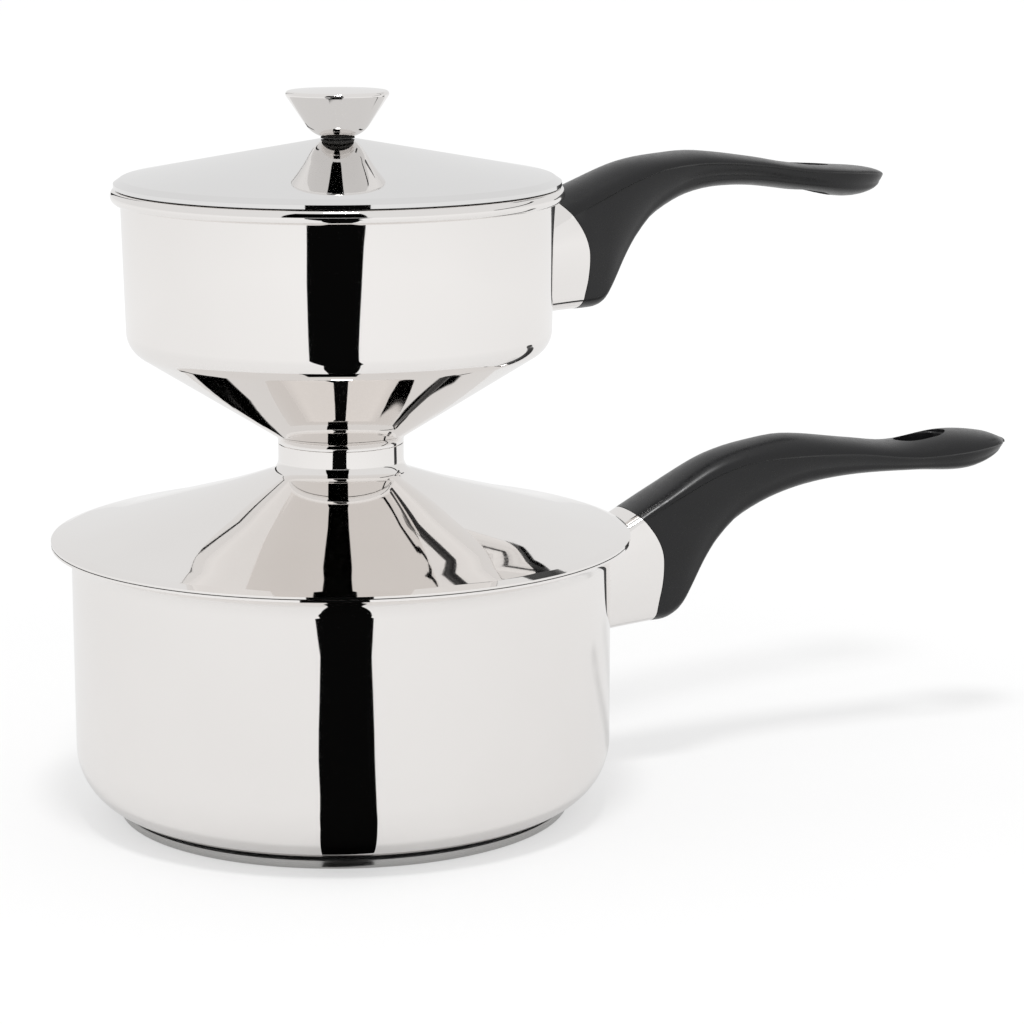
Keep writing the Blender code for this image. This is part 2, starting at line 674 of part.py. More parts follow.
def loft_mesh(name, rings):
    """Skin a row of rings and cap both ends."""
    mesh = bpy.data.meshes.new(name)
    skin = bmesh.new()
    rows = [[skin.verts.new(point) for point in ring] for ring in rings]
    for low, high in zip(rows, rows[1:]):
        for index in range(len(low)):
            after = (index + 1) % len(low)
            skin.faces.new((low[index], low[after], high[after], high[index]))
    skin.faces.new(rows[0])
    skin.faces.new(rows[-1])
    bmesh.ops.recalc_face_normals(skin, faces=skin.faces)
    skin.to_mesh(mesh)
    skin.free()
    return mesh


def handle_blank(name, lines, inset=0.0, reach_limit=None):
    """A handle's full form as one closed loft, or its root end up to a limit."""
    stations = handle_stations(lines)
    if reach_limit:
        stations = [reach for reach in stations if reach < reach_limit] + [reach_limit]
    return loft_mesh(name, [handle_ring(lines, reach, inset) for reach in stations])


def side_prism(name, outline):
    """Solid with an outline in the handle's plane, as wide as the handle and more."""
    curve = bpy.data.curves.new(name, "CURVE")
    curve.dimensions = "2D"
    curve.fill_mode = "BOTH"
    curve.extrude = 3 * CLEAR
    spline = curve.splines.new("POLY")
    spline.points.add(len(outline) - 1)
    for point, (reach, up) in zip(spline.points, outline):
        point.co = (reach, up, 0.0, 1.0)
    spline.use_cyclic_u = True
    holder = bpy.data.objects.new(name + "_outline", curve)
    bpy.data.collections[CUTTERS].objects.link(holder)
    mesh = freeze(holder)
    bpy.data.objects.remove(holder, do_unlink=True)
    prism = bmesh.new()
    prism.from_mesh(mesh)
    bmesh.ops.remove_doubles(prism, verts=prism.verts, dist=SAME_POINT)
    bmesh.ops.rotate(prism, matrix=Matrix.Rotation(pi / 2, 3, "X"), verts=prism.verts)
    bmesh.ops.recalc_face_normals(prism, faces=prism.faces)
    prism.to_mesh(mesh)
    prism.free()
    mesh.name = name
    return mesh


def root_outline(shift):
    """Side outline of everything on the wall side of the seam, moved outwards by a shift."""
    back = HANDLE_BACK - 2 * CLEAR
    seam = [(reach + shift, up) for reach, up in SEAM_LINE]
    return [(back, seam[0][1])] + seam + [(back, seam[-1][1])]


def band_outline(near, far):
    """Side outline of the band between two shifts of the seam."""
    return ([(reach + far, up) for reach, up in SEAM_LINE]
            + [(reach + near, up) for reach, up in SEAM_LINE[::-1]])


def grip_mesh(name, lines):
    """Moulded grip: the outer part of the blank, with its spigot, mortise, screw hole and eye."""
    grip = add_cutter(name + "_blank", handle_blank(name, lines))
    spigot = add_cutter("spigot", handle_blank("spigot", lines, FERRULE_SHEET + GAP, SPIGOT_REACH))
    root = add_cutter("root", side_prism("root", root_outline(GAP)))
    band = add_cutter("band", side_prism("band", band_outline(-GRIP_SPIGOT_LENGTH, 2 * FERRULE_SHEET)))
    boolean(spigot, band, "INTERSECT")

    tongue_top = -TONGUE_DROP + TONGUE_HEIGHT / 2 + GAP
    tongue_foot = -TONGUE_DROP - TONGUE_HEIGHT / 2 - GAP
    tongue_half = TONGUE_WIDTH / 2 + GAP
    mortise = add_cutter("mortise", box_mesh(
        "mortise", (-CLEAR, -tongue_half, tongue_foot), (TONGUE_END + GAP, tongue_half, tongue_top)))
    heel = curve_value(lines.belly, HANDLE_SCREW_REACH)
    shank = HANDLE_SCREW_RADIUS + GAP
    head = HANDLE_SCREW_HEAD_RADIUS + GAP
    screw_hole = add_cutter("screw_hole", cylinder_mesh(
        "screw_hole", (shank, shank), heel, tongue_top, (HANDLE_SCREW_REACH, 0.0), SMALL_SEGMENTS // 2))
    counterbore = add_cutter("counterbore", cylinder_mesh(
        "counterbore", (head, head), heel - CLEAR, -HANDLE_SCREW_SEAT, (HANDLE_SCREW_REACH, 0.0),
        SMALL_SEGMENTS // 2))
    eye_reach = lines.crown[-1][0] - EYE_FROM_TIP
    eye = add_cutter("eye", cylinder_mesh(
        "eye", (EYE_HALF_LENGTH, EYE_HALF_WIDTH), curve_value(lines.belly, eye_reach) - CLEAR,
        curve_value(lines.crown, eye_reach) + CLEAR, (eye_reach, 0.0), SMALL_SEGMENTS))
    boolean(grip, root)
    boolean(grip, spigot, "UNION")
    for cutter in (mortise, screw_hole, counterbore, eye):
        boolean(grip, cutter)
    mesh = freeze(grip)
    for helper in (grip, spigot, root, band, mortise, screw_hole, counterbore, eye):
        bpy.data.objects.remove(helper, do_unlink=True)
    return smooth(mesh, radians(30))


def handle_screw_mesh():
    """Screw that goes up through the heel into the bracket's tongue."""
    head_top = -HANDLE_SCREW_SEAT - GAP
    head_foot = head_top - HANDLE_SCREW_HEAD_HEIGHT
    shank_top = -TONGUE_DROP + TONGUE_HEIGHT / 2 - GAP
    mesh = turned_mesh("handle_screw", [
        (0.0, shank_top),
        (HANDLE_SCREW_RADIUS, shank_top),
        (HANDLE_SCREW_RADIUS, head_top),
        (HANDLE_SCREW_HEAD_RADIUS, head_top),
        (HANDLE_SCREW_HEAD_RADIUS, head_foot),
        (0.0, head_foot),
    ], closed=False, segments=SMALL_SEGMENTS // 2)
    mesh.transform(Matrix.Translation((HANDLE_SCREW_REACH, 0.0, 0.0)))
    return mesh


def wall_cutter(name, outline):
    """Solid of everything inside a pan's outer outline, grown by the gap."""
    grown = offset_path(outline, -GAP)
    top = grown[-1].y + 2 * CLEAR
    profile = [Vector((0.0, top)), Vector((grown[-1].x, top))] + grown[::-1]
    profile.append(Vector((0.0, grown[0].y)))
    return add_cutter(name, turned_mesh(name, profile, closed=False, segments=2 * TURNED_SEGMENTS))


def build_handle(prefix, body, lines, cutter, place, moulding, screw):
    """Bracket, ferrule, grip and screw of one handle."""
    pad_foot = -PAD_DROP - PAD_HEIGHT / 2
    bracket_mesh = box_mesh("pad", (-2 * CLEAR, -PAD_WIDTH / 2, pad_foot),
                            (PAD_THICKNESS, PAD_WIDTH / 2, pad_foot + PAD_HEIGHT))
    bracket = add_object(prefix + "_bracket", bracket_mesh, satin_steel(prefix + "_bracket_steel"), body)
    tongue = add_cutter(prefix + "_tongue", box_mesh(
        "tongue", (-CLEAR, -TONGUE_WIDTH / 2, -TONGUE_DROP - TONGUE_HEIGHT / 2),
        (TONGUE_END, TONGUE_WIDTH / 2, -TONGUE_DROP + TONGUE_HEIGHT / 2)))
    hole = HANDLE_SCREW_RADIUS + GAP
    tapped = add_cutter(prefix + "_tapped_hole", cylinder_mesh(
        "tapped_hole", (hole, hole), -TONGUE_DROP - TONGUE_HEIGHT, -TONGUE_DROP + TONGUE_HEIGHT,
        (HANDLE_SCREW_REACH, 0.0), SMALL_SEGMENTS // 2))

    ferrule_mesh = handle_blank(prefix + "_ferrule", lines, 0.0, SPIGOT_REACH)
    ferrule = add_object(prefix + "_ferrule", ferrule_mesh, polished_steel(prefix + "_ferrule_steel"), body)
    root = add_cutter(prefix + "_root", side_prism("root", root_outline(0.0)))
    core = add_cutter(prefix + "_ferrule_core", ferrule_core_mesh(lines))

    grip_name = prefix + "_handle"
    grip_object = add_object(grip_name, grip_mesh(grip_name, lines), moulding, body)
    screw_object = add_object(prefix + "_handle_screw", screw, None, body)
    for piece in (bracket, tongue, tapped, ferrule, root, core, grip_object, screw_object):
        piece.matrix_world = place
    boolean(bracket, tongue, "UNION")
    boolean(bracket, cutter)
    boolean(bracket, tapped)
    boolean(ferrule, root, "INTERSECT")
    boolean(ferrule, core)
    boolean(ferrule, cutter)


def ferrule_core_mesh(lines):
    """Hollow of a ferrule, running out at both ends."""
    inner = [reach for reach in handle_stations(lines) if reach < SPIGOT_REACH]
    stations = [HANDLE_BACK - CLEAR] + inner + [SPIGOT_REACH + CLEAR]
    return loft_mesh("ferrule_core", [handle_ring(lines, reach, FERRULE_SHEET) for reach in stations])


def handle_place(azimuth, radius, height):
    """Frame of a handle: outwards from the wall along X, turned about the pans' axis."""
    return Matrix.Rotation(azimuth, 4, "Z") @ Matrix.Translation((radius, 0.0, height))


def main():
    """Build the whole steamer."""
    clear_scene()
    new_collection(PARTS)
    new_collection(CUTTERS)
    saucepan = add_body("saucepan_body")
    steamer = add_body("steamer_body")
    plate = add_body("plate_body")
    lid = add_body("lid_body")
    build_base(saucepan)
    build_saucepan(saucepan)
    build_skirt(steamer)
    build_bowl(steamer)
    build_plate(plate)
    lid_underside = build_lid(lid)
    build_knob(lid, lid_underside)

    moulding = black_moulding("handle_moulding")
    screw = handle_screw_mesh()
    screw.materials.append(satin_steel("handle_screw_steel"))
    build_handle("saucepan", saucepan, PAN_HANDLE_LINES, wall_cutter("saucepan_outside", pan_outline()),
                 handle_place(PAN_HANDLE_AZIMUTH, PAN_RADIUS, PAN_HANDLE_HEIGHT), moulding, screw)
    build_handle("steamer", steamer, STEAMER_HANDLE_LINES, wall_cutter("bowl_outside", bowl_outline()),
                 handle_place(STEAMER_HANDLE_AZIMUTH, BOWL_RADIUS, BEAD_HEIGHT - STEAMER_HANDLE_BELOW_RIM),
                 moulding, screw)


if __name__ == "__main__":
    main()
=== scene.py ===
"""Looks of a couscous steamer: mirror-polished pans and lid, black moulded grips, white studio.

Everything is in metres in the CAD model's frame: +Z up along the pans' common axis, +X along the
saucepan's grip, and the ground at the base's underside.
"""

import logging
from dataclasses import dataclass, field
from enum import Enum
from math import atan2, cos, pi, radians, sin, tan
from typing import Callable, Optional, Sequence

import bmesh
import bpy
from mathutils import Matrix, Vector


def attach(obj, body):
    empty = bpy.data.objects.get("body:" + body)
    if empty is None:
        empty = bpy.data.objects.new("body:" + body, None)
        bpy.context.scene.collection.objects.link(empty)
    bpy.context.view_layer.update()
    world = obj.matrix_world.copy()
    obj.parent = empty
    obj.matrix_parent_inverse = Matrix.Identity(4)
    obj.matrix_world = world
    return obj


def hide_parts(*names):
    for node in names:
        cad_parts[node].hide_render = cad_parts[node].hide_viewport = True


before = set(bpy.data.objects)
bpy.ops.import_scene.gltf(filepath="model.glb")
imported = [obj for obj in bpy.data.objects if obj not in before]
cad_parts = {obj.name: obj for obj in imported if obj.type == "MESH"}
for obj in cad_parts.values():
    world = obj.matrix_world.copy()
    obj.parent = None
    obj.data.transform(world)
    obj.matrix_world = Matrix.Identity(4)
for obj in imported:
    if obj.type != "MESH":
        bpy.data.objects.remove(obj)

LOG = logging.getLogger("couscous_steamer")

Colour = tuple[float, float, float]
Line = Sequence[tuple[float, float]]
Test = Callable[[Vector, Vector], bool]
Piece = bpy.types.Object
Material = bpy.types.Material
Socket = bpy.types.NodeSocket

# Clearances between pieces that touch and pieces that slide into one another
TOUCHING = 0.0003
SLIDING = 0.0005
# Where most of a noise's values lie
NOISE_RANGE = (0.3, 0.7)
# The ridges and grooves of brushed steel
BRUSHED_COLOURS = ((0.66, 0.652, 0.640), (0.50, 0.494, 0.485))
# Angles past which an edge stays crisp
TURNED_CREASE = radians(32)
GRIP_CREASE = radians(30)
# Least distance between an outline's points, and the size of the plane that a line starts as
CLOSEST = 0.00001
SPECK = 0.001


class Body(Enum):
    """The rigid bodies that pieces ride on."""

    SAUCEPAN = "saucepan"
    STEAMER = "steamer"
    PLATE = "plate"
    LID = "lid"


class Slot(Enum):
    """Names of the material slots, one for each kind of finish."""

    POLISHED = "polished_steel"
    SATIN = "satin_steel"
    MOULDING = "black_moulding"
    FIBRE = "grey_fibre"


def metres(across: Sequence[float], along: Sequence[float]) -> Line:
    """Pair two rows of millimetres as points in metres."""
    return tuple((first / 1000, second / 1000) for first, second in zip(across, along))


def quarter(steps: int) -> list[tuple[float, float]]:
    """Return (sine, cosine) pairs over a quarter turn."""
    turns = [pi / 2 * index / steps for index in range(steps + 1)]
    return [(sin(turn), cos(turn)) for turn in turns]


# Finishes


class Wiring:
    """A node tree, with short ways to add and join its nodes."""

    def __init__(self, tree: bpy.types.NodeTree) -> None:
        """Take a tree in hand."""
        self.tree = tree

    def node(self, kind: str, **settings: object) -> bpy.types.Node:
        """Add a shader node and set its own options."""
        made = self.tree.nodes.new(kind)
        for name, value in settings.items():
            setattr(made, name, value)
        return made

    def feed(self, target: Socket, value: object) -> None:
        """Link an input to a socket, or set it to a value."""
        if isinstance(value, Socket):
            self.tree.links.new(value, target)
        else:
            target.default_value = value

    def put(self, kind: str, *values: object, **settings: object) -> Socket:
        """Add a node, feed its first inputs and return its first output."""
        made = self.node(kind, **settings)
        for target, value in zip(made.inputs, values):
            self.feed(target, value)
        return made.outputs[0]

    def math(self, operation: str, *values: object) -> Socket:
        """Return the result of a sum on sockets or numbers."""
        return self.put("ShaderNodeMath", *values, operation=operation)

    def length(self, vector: Socket) -> Socket:
        """Return a vector's length."""
        made = self.node("ShaderNodeVectorMath", operation="LENGTH")
        self.feed(made.inputs[0], vector)
        return made.outputs["Value"]

    def split(self, vector: Socket) -> tuple[Socket, ...]:
        """Return a vector's three parts."""
        made = self.node("ShaderNodeSeparateXYZ")
        self.feed(made.inputs["Vector"], vector)
        return tuple(made.outputs)

    def ramp(self, value: Socket, start: float, end: float, low: float = 0.0, high: float = 1.0) -> Socket:
        """Return a result that runs from low to high while a value runs from start to end."""
        return self.put("ShaderNodeMapRange", value, start, end, low, high)

    def step(self, value: Socket, middle: float, width: float,
             low: float = 0.0, high: float = 1.0) -> Socket:
        """Return a soft step that is half done at the middle."""
        return self.ramp(value, middle - width / 2, middle + width / 2, low, high)


@dataclass(frozen=True)
class Pattern:
    """A soft noise over a piece, plain, stretched along the axes or run round an upright axis."""

    scale: float
    detail: float
    stretch: Optional[Colour] = None
    centre: Optional[tuple[float, float]] = None


class Sketch(Wiring):
    """One material: a Principled shader and the patterns that drive it."""

    def __init__(self, name: str, metallic: float) -> None:
        """Start a material, plain apart from how metallic it is."""
        self.material = bpy.data.materials.new(name)
        self.material.use_nodes = True
        super().__init__(self.material.node_tree)
        self.shader = self.tree.nodes["Principled BSDF"]
        self.drive("Metallic", metallic)
        self.noises: dict[Pattern, Socket] = {}

    def drive(self, name: str, value: object) -> None:
        """Feed one of the shader's inputs."""
        self.feed(self.shader.inputs[name], value)

    def place(self) -> Socket:
        """Return the point on the piece, in metres."""
        return self.node("ShaderNodeTexCoord").outputs["Object"]

    def mapped(self, **shifts: Colour) -> Socket:
        """Return the point on the piece after a Mapping node's Location or Scale."""
        mapping = self.node("ShaderNodeMapping")
        self.feed(mapping.inputs["Vector"], self.place())
        for name, shift in shifts.items():
            self.feed(mapping.inputs[name], shift)
        return mapping.outputs["Vector"]

    def turned(self, centre: tuple[float, float]) -> Socket:
        """Return (distance from an upright axis, height, 0), so that a pattern runs round the axis."""
        across, along, up = self.split(self.mapped(Location=(-centre[0], -centre[1], 0.0)))
        distance = self.length(self.put("ShaderNodeCombineXYZ", across, along))
        return self.put("ShaderNodeCombineXYZ", distance, up)

    def spot(self, pattern: Pattern) -> Socket:
        """Return the point at which a pattern is read."""
        if pattern.centre:
            return self.turned(pattern.centre)
        if pattern.stretch:
            return self.mapped(Scale=pattern.stretch)
        return self.place()

    def noise(self, pattern: Pattern) -> Socket:
        """Return a pattern's noise between 0 and 1, with one node however often it is used."""
        if pattern not in self.noises:
            made = self.node("ShaderNodeTexNoise")
            self.feed(made.inputs["Vector"], self.spot(pattern))
            self.feed(made.inputs["Scale"], pattern.scale)
            self.feed(made.inputs["Detail"], pattern.detail)
            self.noises[pattern] = made.outputs["Fac"]
        return self.noises[pattern]

    def spread(self, value: Socket, low: float = 0.0, high: float = 1.0) -> Socket:
        """Return the middle of a noise's range spread over low to high."""
        return self.ramp(value, *NOISE_RANGE, low, high)

    def tint(self, share: Socket, first: Colour, second: Colour) -> None:
        """Mix two colours by a share into the shader's base colour."""
        mix = self.node("ShaderNodeMix", data_type="RGBA")
        sockets = {socket.identifier: socket for socket in (*mix.inputs, *mix.outputs)}
        self.feed(sockets["Factor_Float"], share)
        self.feed(sockets["A_Color"], (*first, 1.0))
        self.feed(sockets["B_Color"], (*second, 1.0))
        self.drive("Base Color", sockets["Result_Color"])

    def bump(self, height: Socket, depth: float, strength: float) -> None:
        """Raise the surface by a height pattern of a depth in metres."""
        bump = self.node("ShaderNodeBump")
        self.feed(bump.inputs["Height"], height)
        self.feed(bump.inputs["Distance"], depth)
        self.feed(bump.inputs["Strength"], strength)
        self.drive("Normal", bump.outputs["Normal"])


@dataclass(frozen=True)
class Finish:
    """A material whose colour, roughness and relief each follow a pattern."""

    name: str
    first: Colour
    second: Colour
    tint: Pattern
    roughness: tuple[float, float]
    wear: Pattern
    relief: Optional[Pattern] = None
    depth: float = 0.0
    strength: float = 0.0
    metallic: float = 1.0
    sheen: float = 0.5

    def build(self) -> Material:
        """Make the material."""
        sketch = Sketch(self.name, self.metallic)
        sketch.drive("Specular IOR Level", self.sheen)
        sketch.tint(sketch.spread(sketch.noise(self.tint)), self.first, self.second)
        sketch.drive("Roughness", sketch.spread(sketch.noise(self.wear), *self.roughness))
        if self.relief:
            sketch.bump(sketch.noise(self.relief), self.depth, self.strength)
        return sketch.material


def mirror_steel(name: str, bright: Colour, dull: Colour) -> Material:
    """Make mirror-polished stainless steel, with the faint waviness of pressed sheet."""
    return Finish(
        name, bright, dull, tint=Pattern(scale=14.0, detail=3.0),
        roughness=(0.012, 0.045), wear=Pattern(scale=1400.0, detail=4.0, centre=(0.0, 0.0)),
        relief=Pattern(scale=22.0, detail=1.0), depth=0.00012, strength=0.35).build()


def brushed_steel(name: str, bright: Colour, dull: Colour,
                  centre: tuple[float, float] = (0.0, 0.0)) -> Material:
    """Make stainless steel with fine brushing that runs round an upright axis.

    Args:
        name: The material's name.
        bright: The colour of its ridges.
        dull: The colour of its grooves.
        centre: Where the axis stands.

    Returns:
        The material.
    """
    rings = Pattern(scale=2600.0, detail=6.0, centre=centre)
    return Finish(name, bright, dull, tint=rings, roughness=(0.20, 0.40), wear=rings,
                  relief=rings, depth=0.00003, strength=0.30).build()


def black_moulding() -> Material:
    """Make satin black phenolic moulding: a fine skin with slight flow marks."""
    return Finish(
        "black_moulding", (0.0050, 0.0050, 0.0058), (0.0085, 0.0085, 0.0096),
        tint=Pattern(scale=1.0, detail=4.0, stretch=(18.0, 60.0, 60.0)),
        roughness=(0.25, 0.34), wear=Pattern(scale=420.0, detail=4.0),
        relief=Pattern(scale=600.0, detail=2.0), depth=0.00004, strength=0.10,
        metallic=0.0, sheen=0.40).build()


def grey_fibre() -> Material:
    """Make the pressed dark fibre of a washer."""
    strands = Pattern(scale=3200.0, detail=5.0)
    return Finish("grey_fibre", (0.030, 0.029, 0.028), (0.080, 0.077, 0.072), tint=strands,
                  roughness=(0.65, 0.90), wear=strands, relief=strands, depth=0.00006,
                  strength=0.40, metallic=0.0).build()


def core_aluminium() -> Material:
    """Make the plain rolled aluminium of the base's closed-in core."""
    rolling = Pattern(scale=1.0, detail=4.0, stretch=(12.0, 900.0, 12.0))
    return Finish("core_aluminium", (0.72, 0.73, 0.74), (0.60, 0.61, 0.62), tint=rolling,
                  roughness=(0.35, 0.50), wear=rolling).build()


# Making pieces


class Bench:
    """Moves that every piece is made with."""

    @staticmethod
    def clear() -> None:
        """Leave edit mode and deselect everything."""
        if bpy.context.object and bpy.context.object.mode != "OBJECT":
            bpy.ops.object.mode_set(mode="OBJECT")
        bpy.ops.object.select_all(action="DESELECT")

    @staticmethod
    def take(piece: Piece) -> None:
        """Make a piece the only one in hand."""
        Bench.clear()
        piece.select_set(True)
        bpy.context.view_layer.objects.active = piece

    @staticmethod
    def draw(name: str, points: Sequence[Vector], closed: bool) -> Piece:
        """Draw a line of edges by extruding one corner from point to point, and stay in edit mode.

        Args:
            name: The piece's name.
            points: The corners, in metres.
            closed: Whether the last corner is joined to the first.

        Returns:
            The new object.
        """
        Bench.clear()
        bpy.ops.mesh.primitive_plane_add(size=SPECK, location=points[0])
        piece = bpy.context.object
        piece.name = name
        piece.data.name = name
        bpy.ops.object.transform_apply()
        bpy.ops.object.mode_set(mode="EDIT")
        bpy.ops.mesh.select_mode(type="VERT")
        bpy.ops.mesh.select_all(action="SELECT")
        bpy.ops.mesh.merge(type="CENTER")
        for before, point in zip(points, points[1:]):
            bpy.ops.mesh.extrude_vertices_move(TRANSFORM_OT_translate={"value": point - before})
        if closed:
            Bench.pick(piece, lambda vert: len(vert.link_edges) == 1)
            bpy.ops.mesh.edge_face_add()
        return piece

    @staticmethod
    def fill(name: str, points: Sequence[Vector]) -> Piece:
        """Draw a closed line, fill it with a face, and stay in edit mode with all selected."""
        piece = Bench.draw(name, points, closed=True)
        bpy.ops.mesh.select_all(action="SELECT")
        bpy.ops.mesh.edge_face_add()
        return piece

    @staticmethod
    def pick(piece: Piece, test: Callable[[bmesh.types.BMVert], bool]) -> None:
        """Select the corners that pass a test, in edit mode."""
        mesh = bmesh.from_edit_mesh(piece.data)
        for vert in mesh.verts:
            vert.select_set(test(vert))
        mesh.select_flush(True)
        bmesh.update_edit_mesh(piece.data)

    @staticmethod
    def block(size: Sequence[float], centre: Sequence[float]) -> Piece:
        """Add a block of a size at a place."""
        Bench.clear()
        bpy.ops.mesh.primitive_cube_add(size=1.0, location=centre)
        made = bpy.context.object
        made.scale = size
        bpy.ops.object.transform_apply()
        return made

    @staticmethod
    def tidy(piece: Piece, crease: float, merge: float = 0.000002) -> Piece:
        """Merge doubles, turn every face outwards and shade smooth up to an angle.

        Args:
            piece: The piece, in edit mode or not.
            crease: The angle past which an edge stays crisp, in radians.
            merge: The distance under which points are merged.

        Returns:
            The same piece, in object mode.
        """
        Bench.take(piece)
        bpy.ops.object.mode_set(mode="EDIT")
        bpy.ops.mesh.select_all(action="SELECT")
        bpy.ops.mesh.remove_doubles(threshold=merge)
        bpy.ops.mesh.normals_make_consistent(inside=False)
        bpy.ops.object.mode_set(mode="OBJECT")
        bpy.ops.object.shade_smooth_by_angle(angle=crease)
        return piece

    @staticmethod
    def cut(piece: Piece, tool: Piece, operation: str = "DIFFERENCE") -> None:
        """Cut, join or trim a piece with a tool, and work the cut in."""
        Bench.take(piece)
        modifier = piece.modifiers.new(tool.name, "BOOLEAN")
        modifier.operation = operation
        modifier.solver = "EXACT"
        modifier.object = tool
        bpy.ops.object.modifier_apply(modifier=modifier.name)

    @staticmethod
    def copy(piece: Piece, name: str) -> Piece:
        """Copy a piece with a mesh of its own."""
        twin = piece.copy()
        twin.data = piece.data.copy()
        twin.name = name
        twin.data.name = name
        bpy.context.scene.collection.objects.link(twin)
        return twin

    @staticmethod
    def put(piece: Piece, place: Matrix) -> Piece:
        """Carry a piece to its place, with the place worked into its mesh."""
        Bench.take(piece)
        piece.matrix_world = place
        bpy.ops.object.transform_apply()
        return piece

    @staticmethod
    def drop(*tools: Piece) -> None:
        """Throw away tools that are done with."""
        for tool in tools:
            bpy.data.objects.remove(tool, do_unlink=True)


@dataclass(frozen=True)
class Lathe:
    """Turns (radius, height) outlines about the pans' axis."""

    steps: int = 192
    crease: float = TURNED_CREASE

    def turn(self, name: str, outline: Sequence[Vector], closed: bool) -> Piece:
        """Turn an outline.

        Args:
            name: The piece's name.
            outline: Points of (radius, height), in metres.
            closed: Whether the last point is joined to the first.

        Returns:
            The turned piece, closed and facing outwards.
        """
        piece = Bench.draw(name, [Vector((point[0], 0.0, point[1])) for point in outline], closed)
        bpy.ops.mesh.select_all(action="SELECT")
        bpy.ops.mesh.spin(steps=self.steps, angle=2 * pi, center=(0, 0, 0), axis=(0, 0, 1))
        return Bench.tidy(piece, self.crease)

    def press(self, name: str, outside: Sequence[Vector], sheet: float) -> Piece:
        """Turn a sheet of one thickness whose outer side starts and ends at the axis or an edge."""
        inside = Outline.offset(outside, sheet)
        return self.turn(name, inside + outside[::-1], closed=False)


class Outline:
    """Ways to draw an outline of (radius, height) points."""

    @staticmethod
    def rounded(corners: Sequence[tuple[float, float, float]], steps: int = 10) -> list[Vector]:
        """Turn (radius, height, rounding) corners into points, with an arc at each rounded corner."""
        points: list[Vector] = []
        for index, (radius, height, size) in enumerate(corners):
            corner = Vector((radius, height))
            if size == 0.0:
                points.append(corner)
                continue
            back = (Vector(corners[index - 1][:2]) - corner).normalized()
            ahead = (Vector(corners[(index + 1) % len(corners)][:2]) - corner).normalized()
            half = back.angle(ahead) / 2
            reach = size / tan(half)
            centre = corner + (back + ahead).normalized() * (size / sin(half))
            first = corner + back * reach - centre
            sweep = (corner + ahead * reach - centre).angle_signed(first)
            for step in range(steps + 1):
                points.append(centre + Matrix.Rotation(sweep * step / steps, 2) @ first)
        apart = [points[0]]
        for point in points[1:]:
            if (point - apart[-1]).length > CLOSEST:
                apart.append(point)
        return apart

    @staticmethod
    def offset(path: Sequence[Vector], distance: float) -> list[Vector]:
        """Shift an outline to its left by a distance."""
        shifted = []
        for index, point in enumerate(path):
            normals = []
            for start, end in ((index - 1, index), (index, index + 1)):
                if start >= 0 and end < len(path):
                    run = (path[end] - path[start]).normalized()
                    normals.append(Vector((-run.y, run.x)))
            normal = sum(normals, Vector((0.0, 0.0)))
            if len(normals) == 2:
                normal /= 1 + normals[0].dot(normals[1])
            shifted.append(point + normal * distance)
        return shifted

    @staticmethod
    def height_at(path: Sequence[Vector], radius: float) -> float:
        """Return the height at which an outline that widens passes a radius."""
        for inner, outer in zip(path, path[1:]):
            if inner.x <= radius <= outer.x and outer.x > inner.x:
                share = (radius - inner.x) / (outer.x - inner.x)
                return inner.y + (outer.y - inner.y) * share
        raise ValueError("the outline does not pass this radius")


def hang(piece: Piece, body: Body, slot: Slot, *nodes: str) -> None:
    """Let a finished piece ride on a body in place of CAD nodes, and report it."""
    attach(piece, body.value)
    if nodes:
        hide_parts(*nodes)
    LOG.info("%s rides on %s with %d faces", piece.name, body.value, len(piece.data.polygons))


def dress(piece: Piece, material: Material, inner: Optional[Material] = None,
          is_inner: Optional[Test] = None) -> Piece:
    """Give a piece its finish, and its inner faces another.

    Args:
        piece: The piece.
        material: The finish.
        inner: The finish of the inner faces.
        is_inner: Tells an inner face by its centre and normal.

    Returns:
        The same piece.
    """
    piece.data.materials.clear()
    piece.data.materials.append(material)
    if inner and is_inner:
        piece.data.materials.append(inner)
        for face in piece.data.polygons:
            if is_inner(face.center, face.normal):
                face.material_index = 1
    return piece


def outward(centre: Vector, normal: Vector) -> float:
    """Return how much a face looks away from the pans' axis."""
    flat = Vector((centre.x, centre.y, 0.0))
    return normal.dot(flat.normalized()) if flat.length > 1e-6 else 0.0


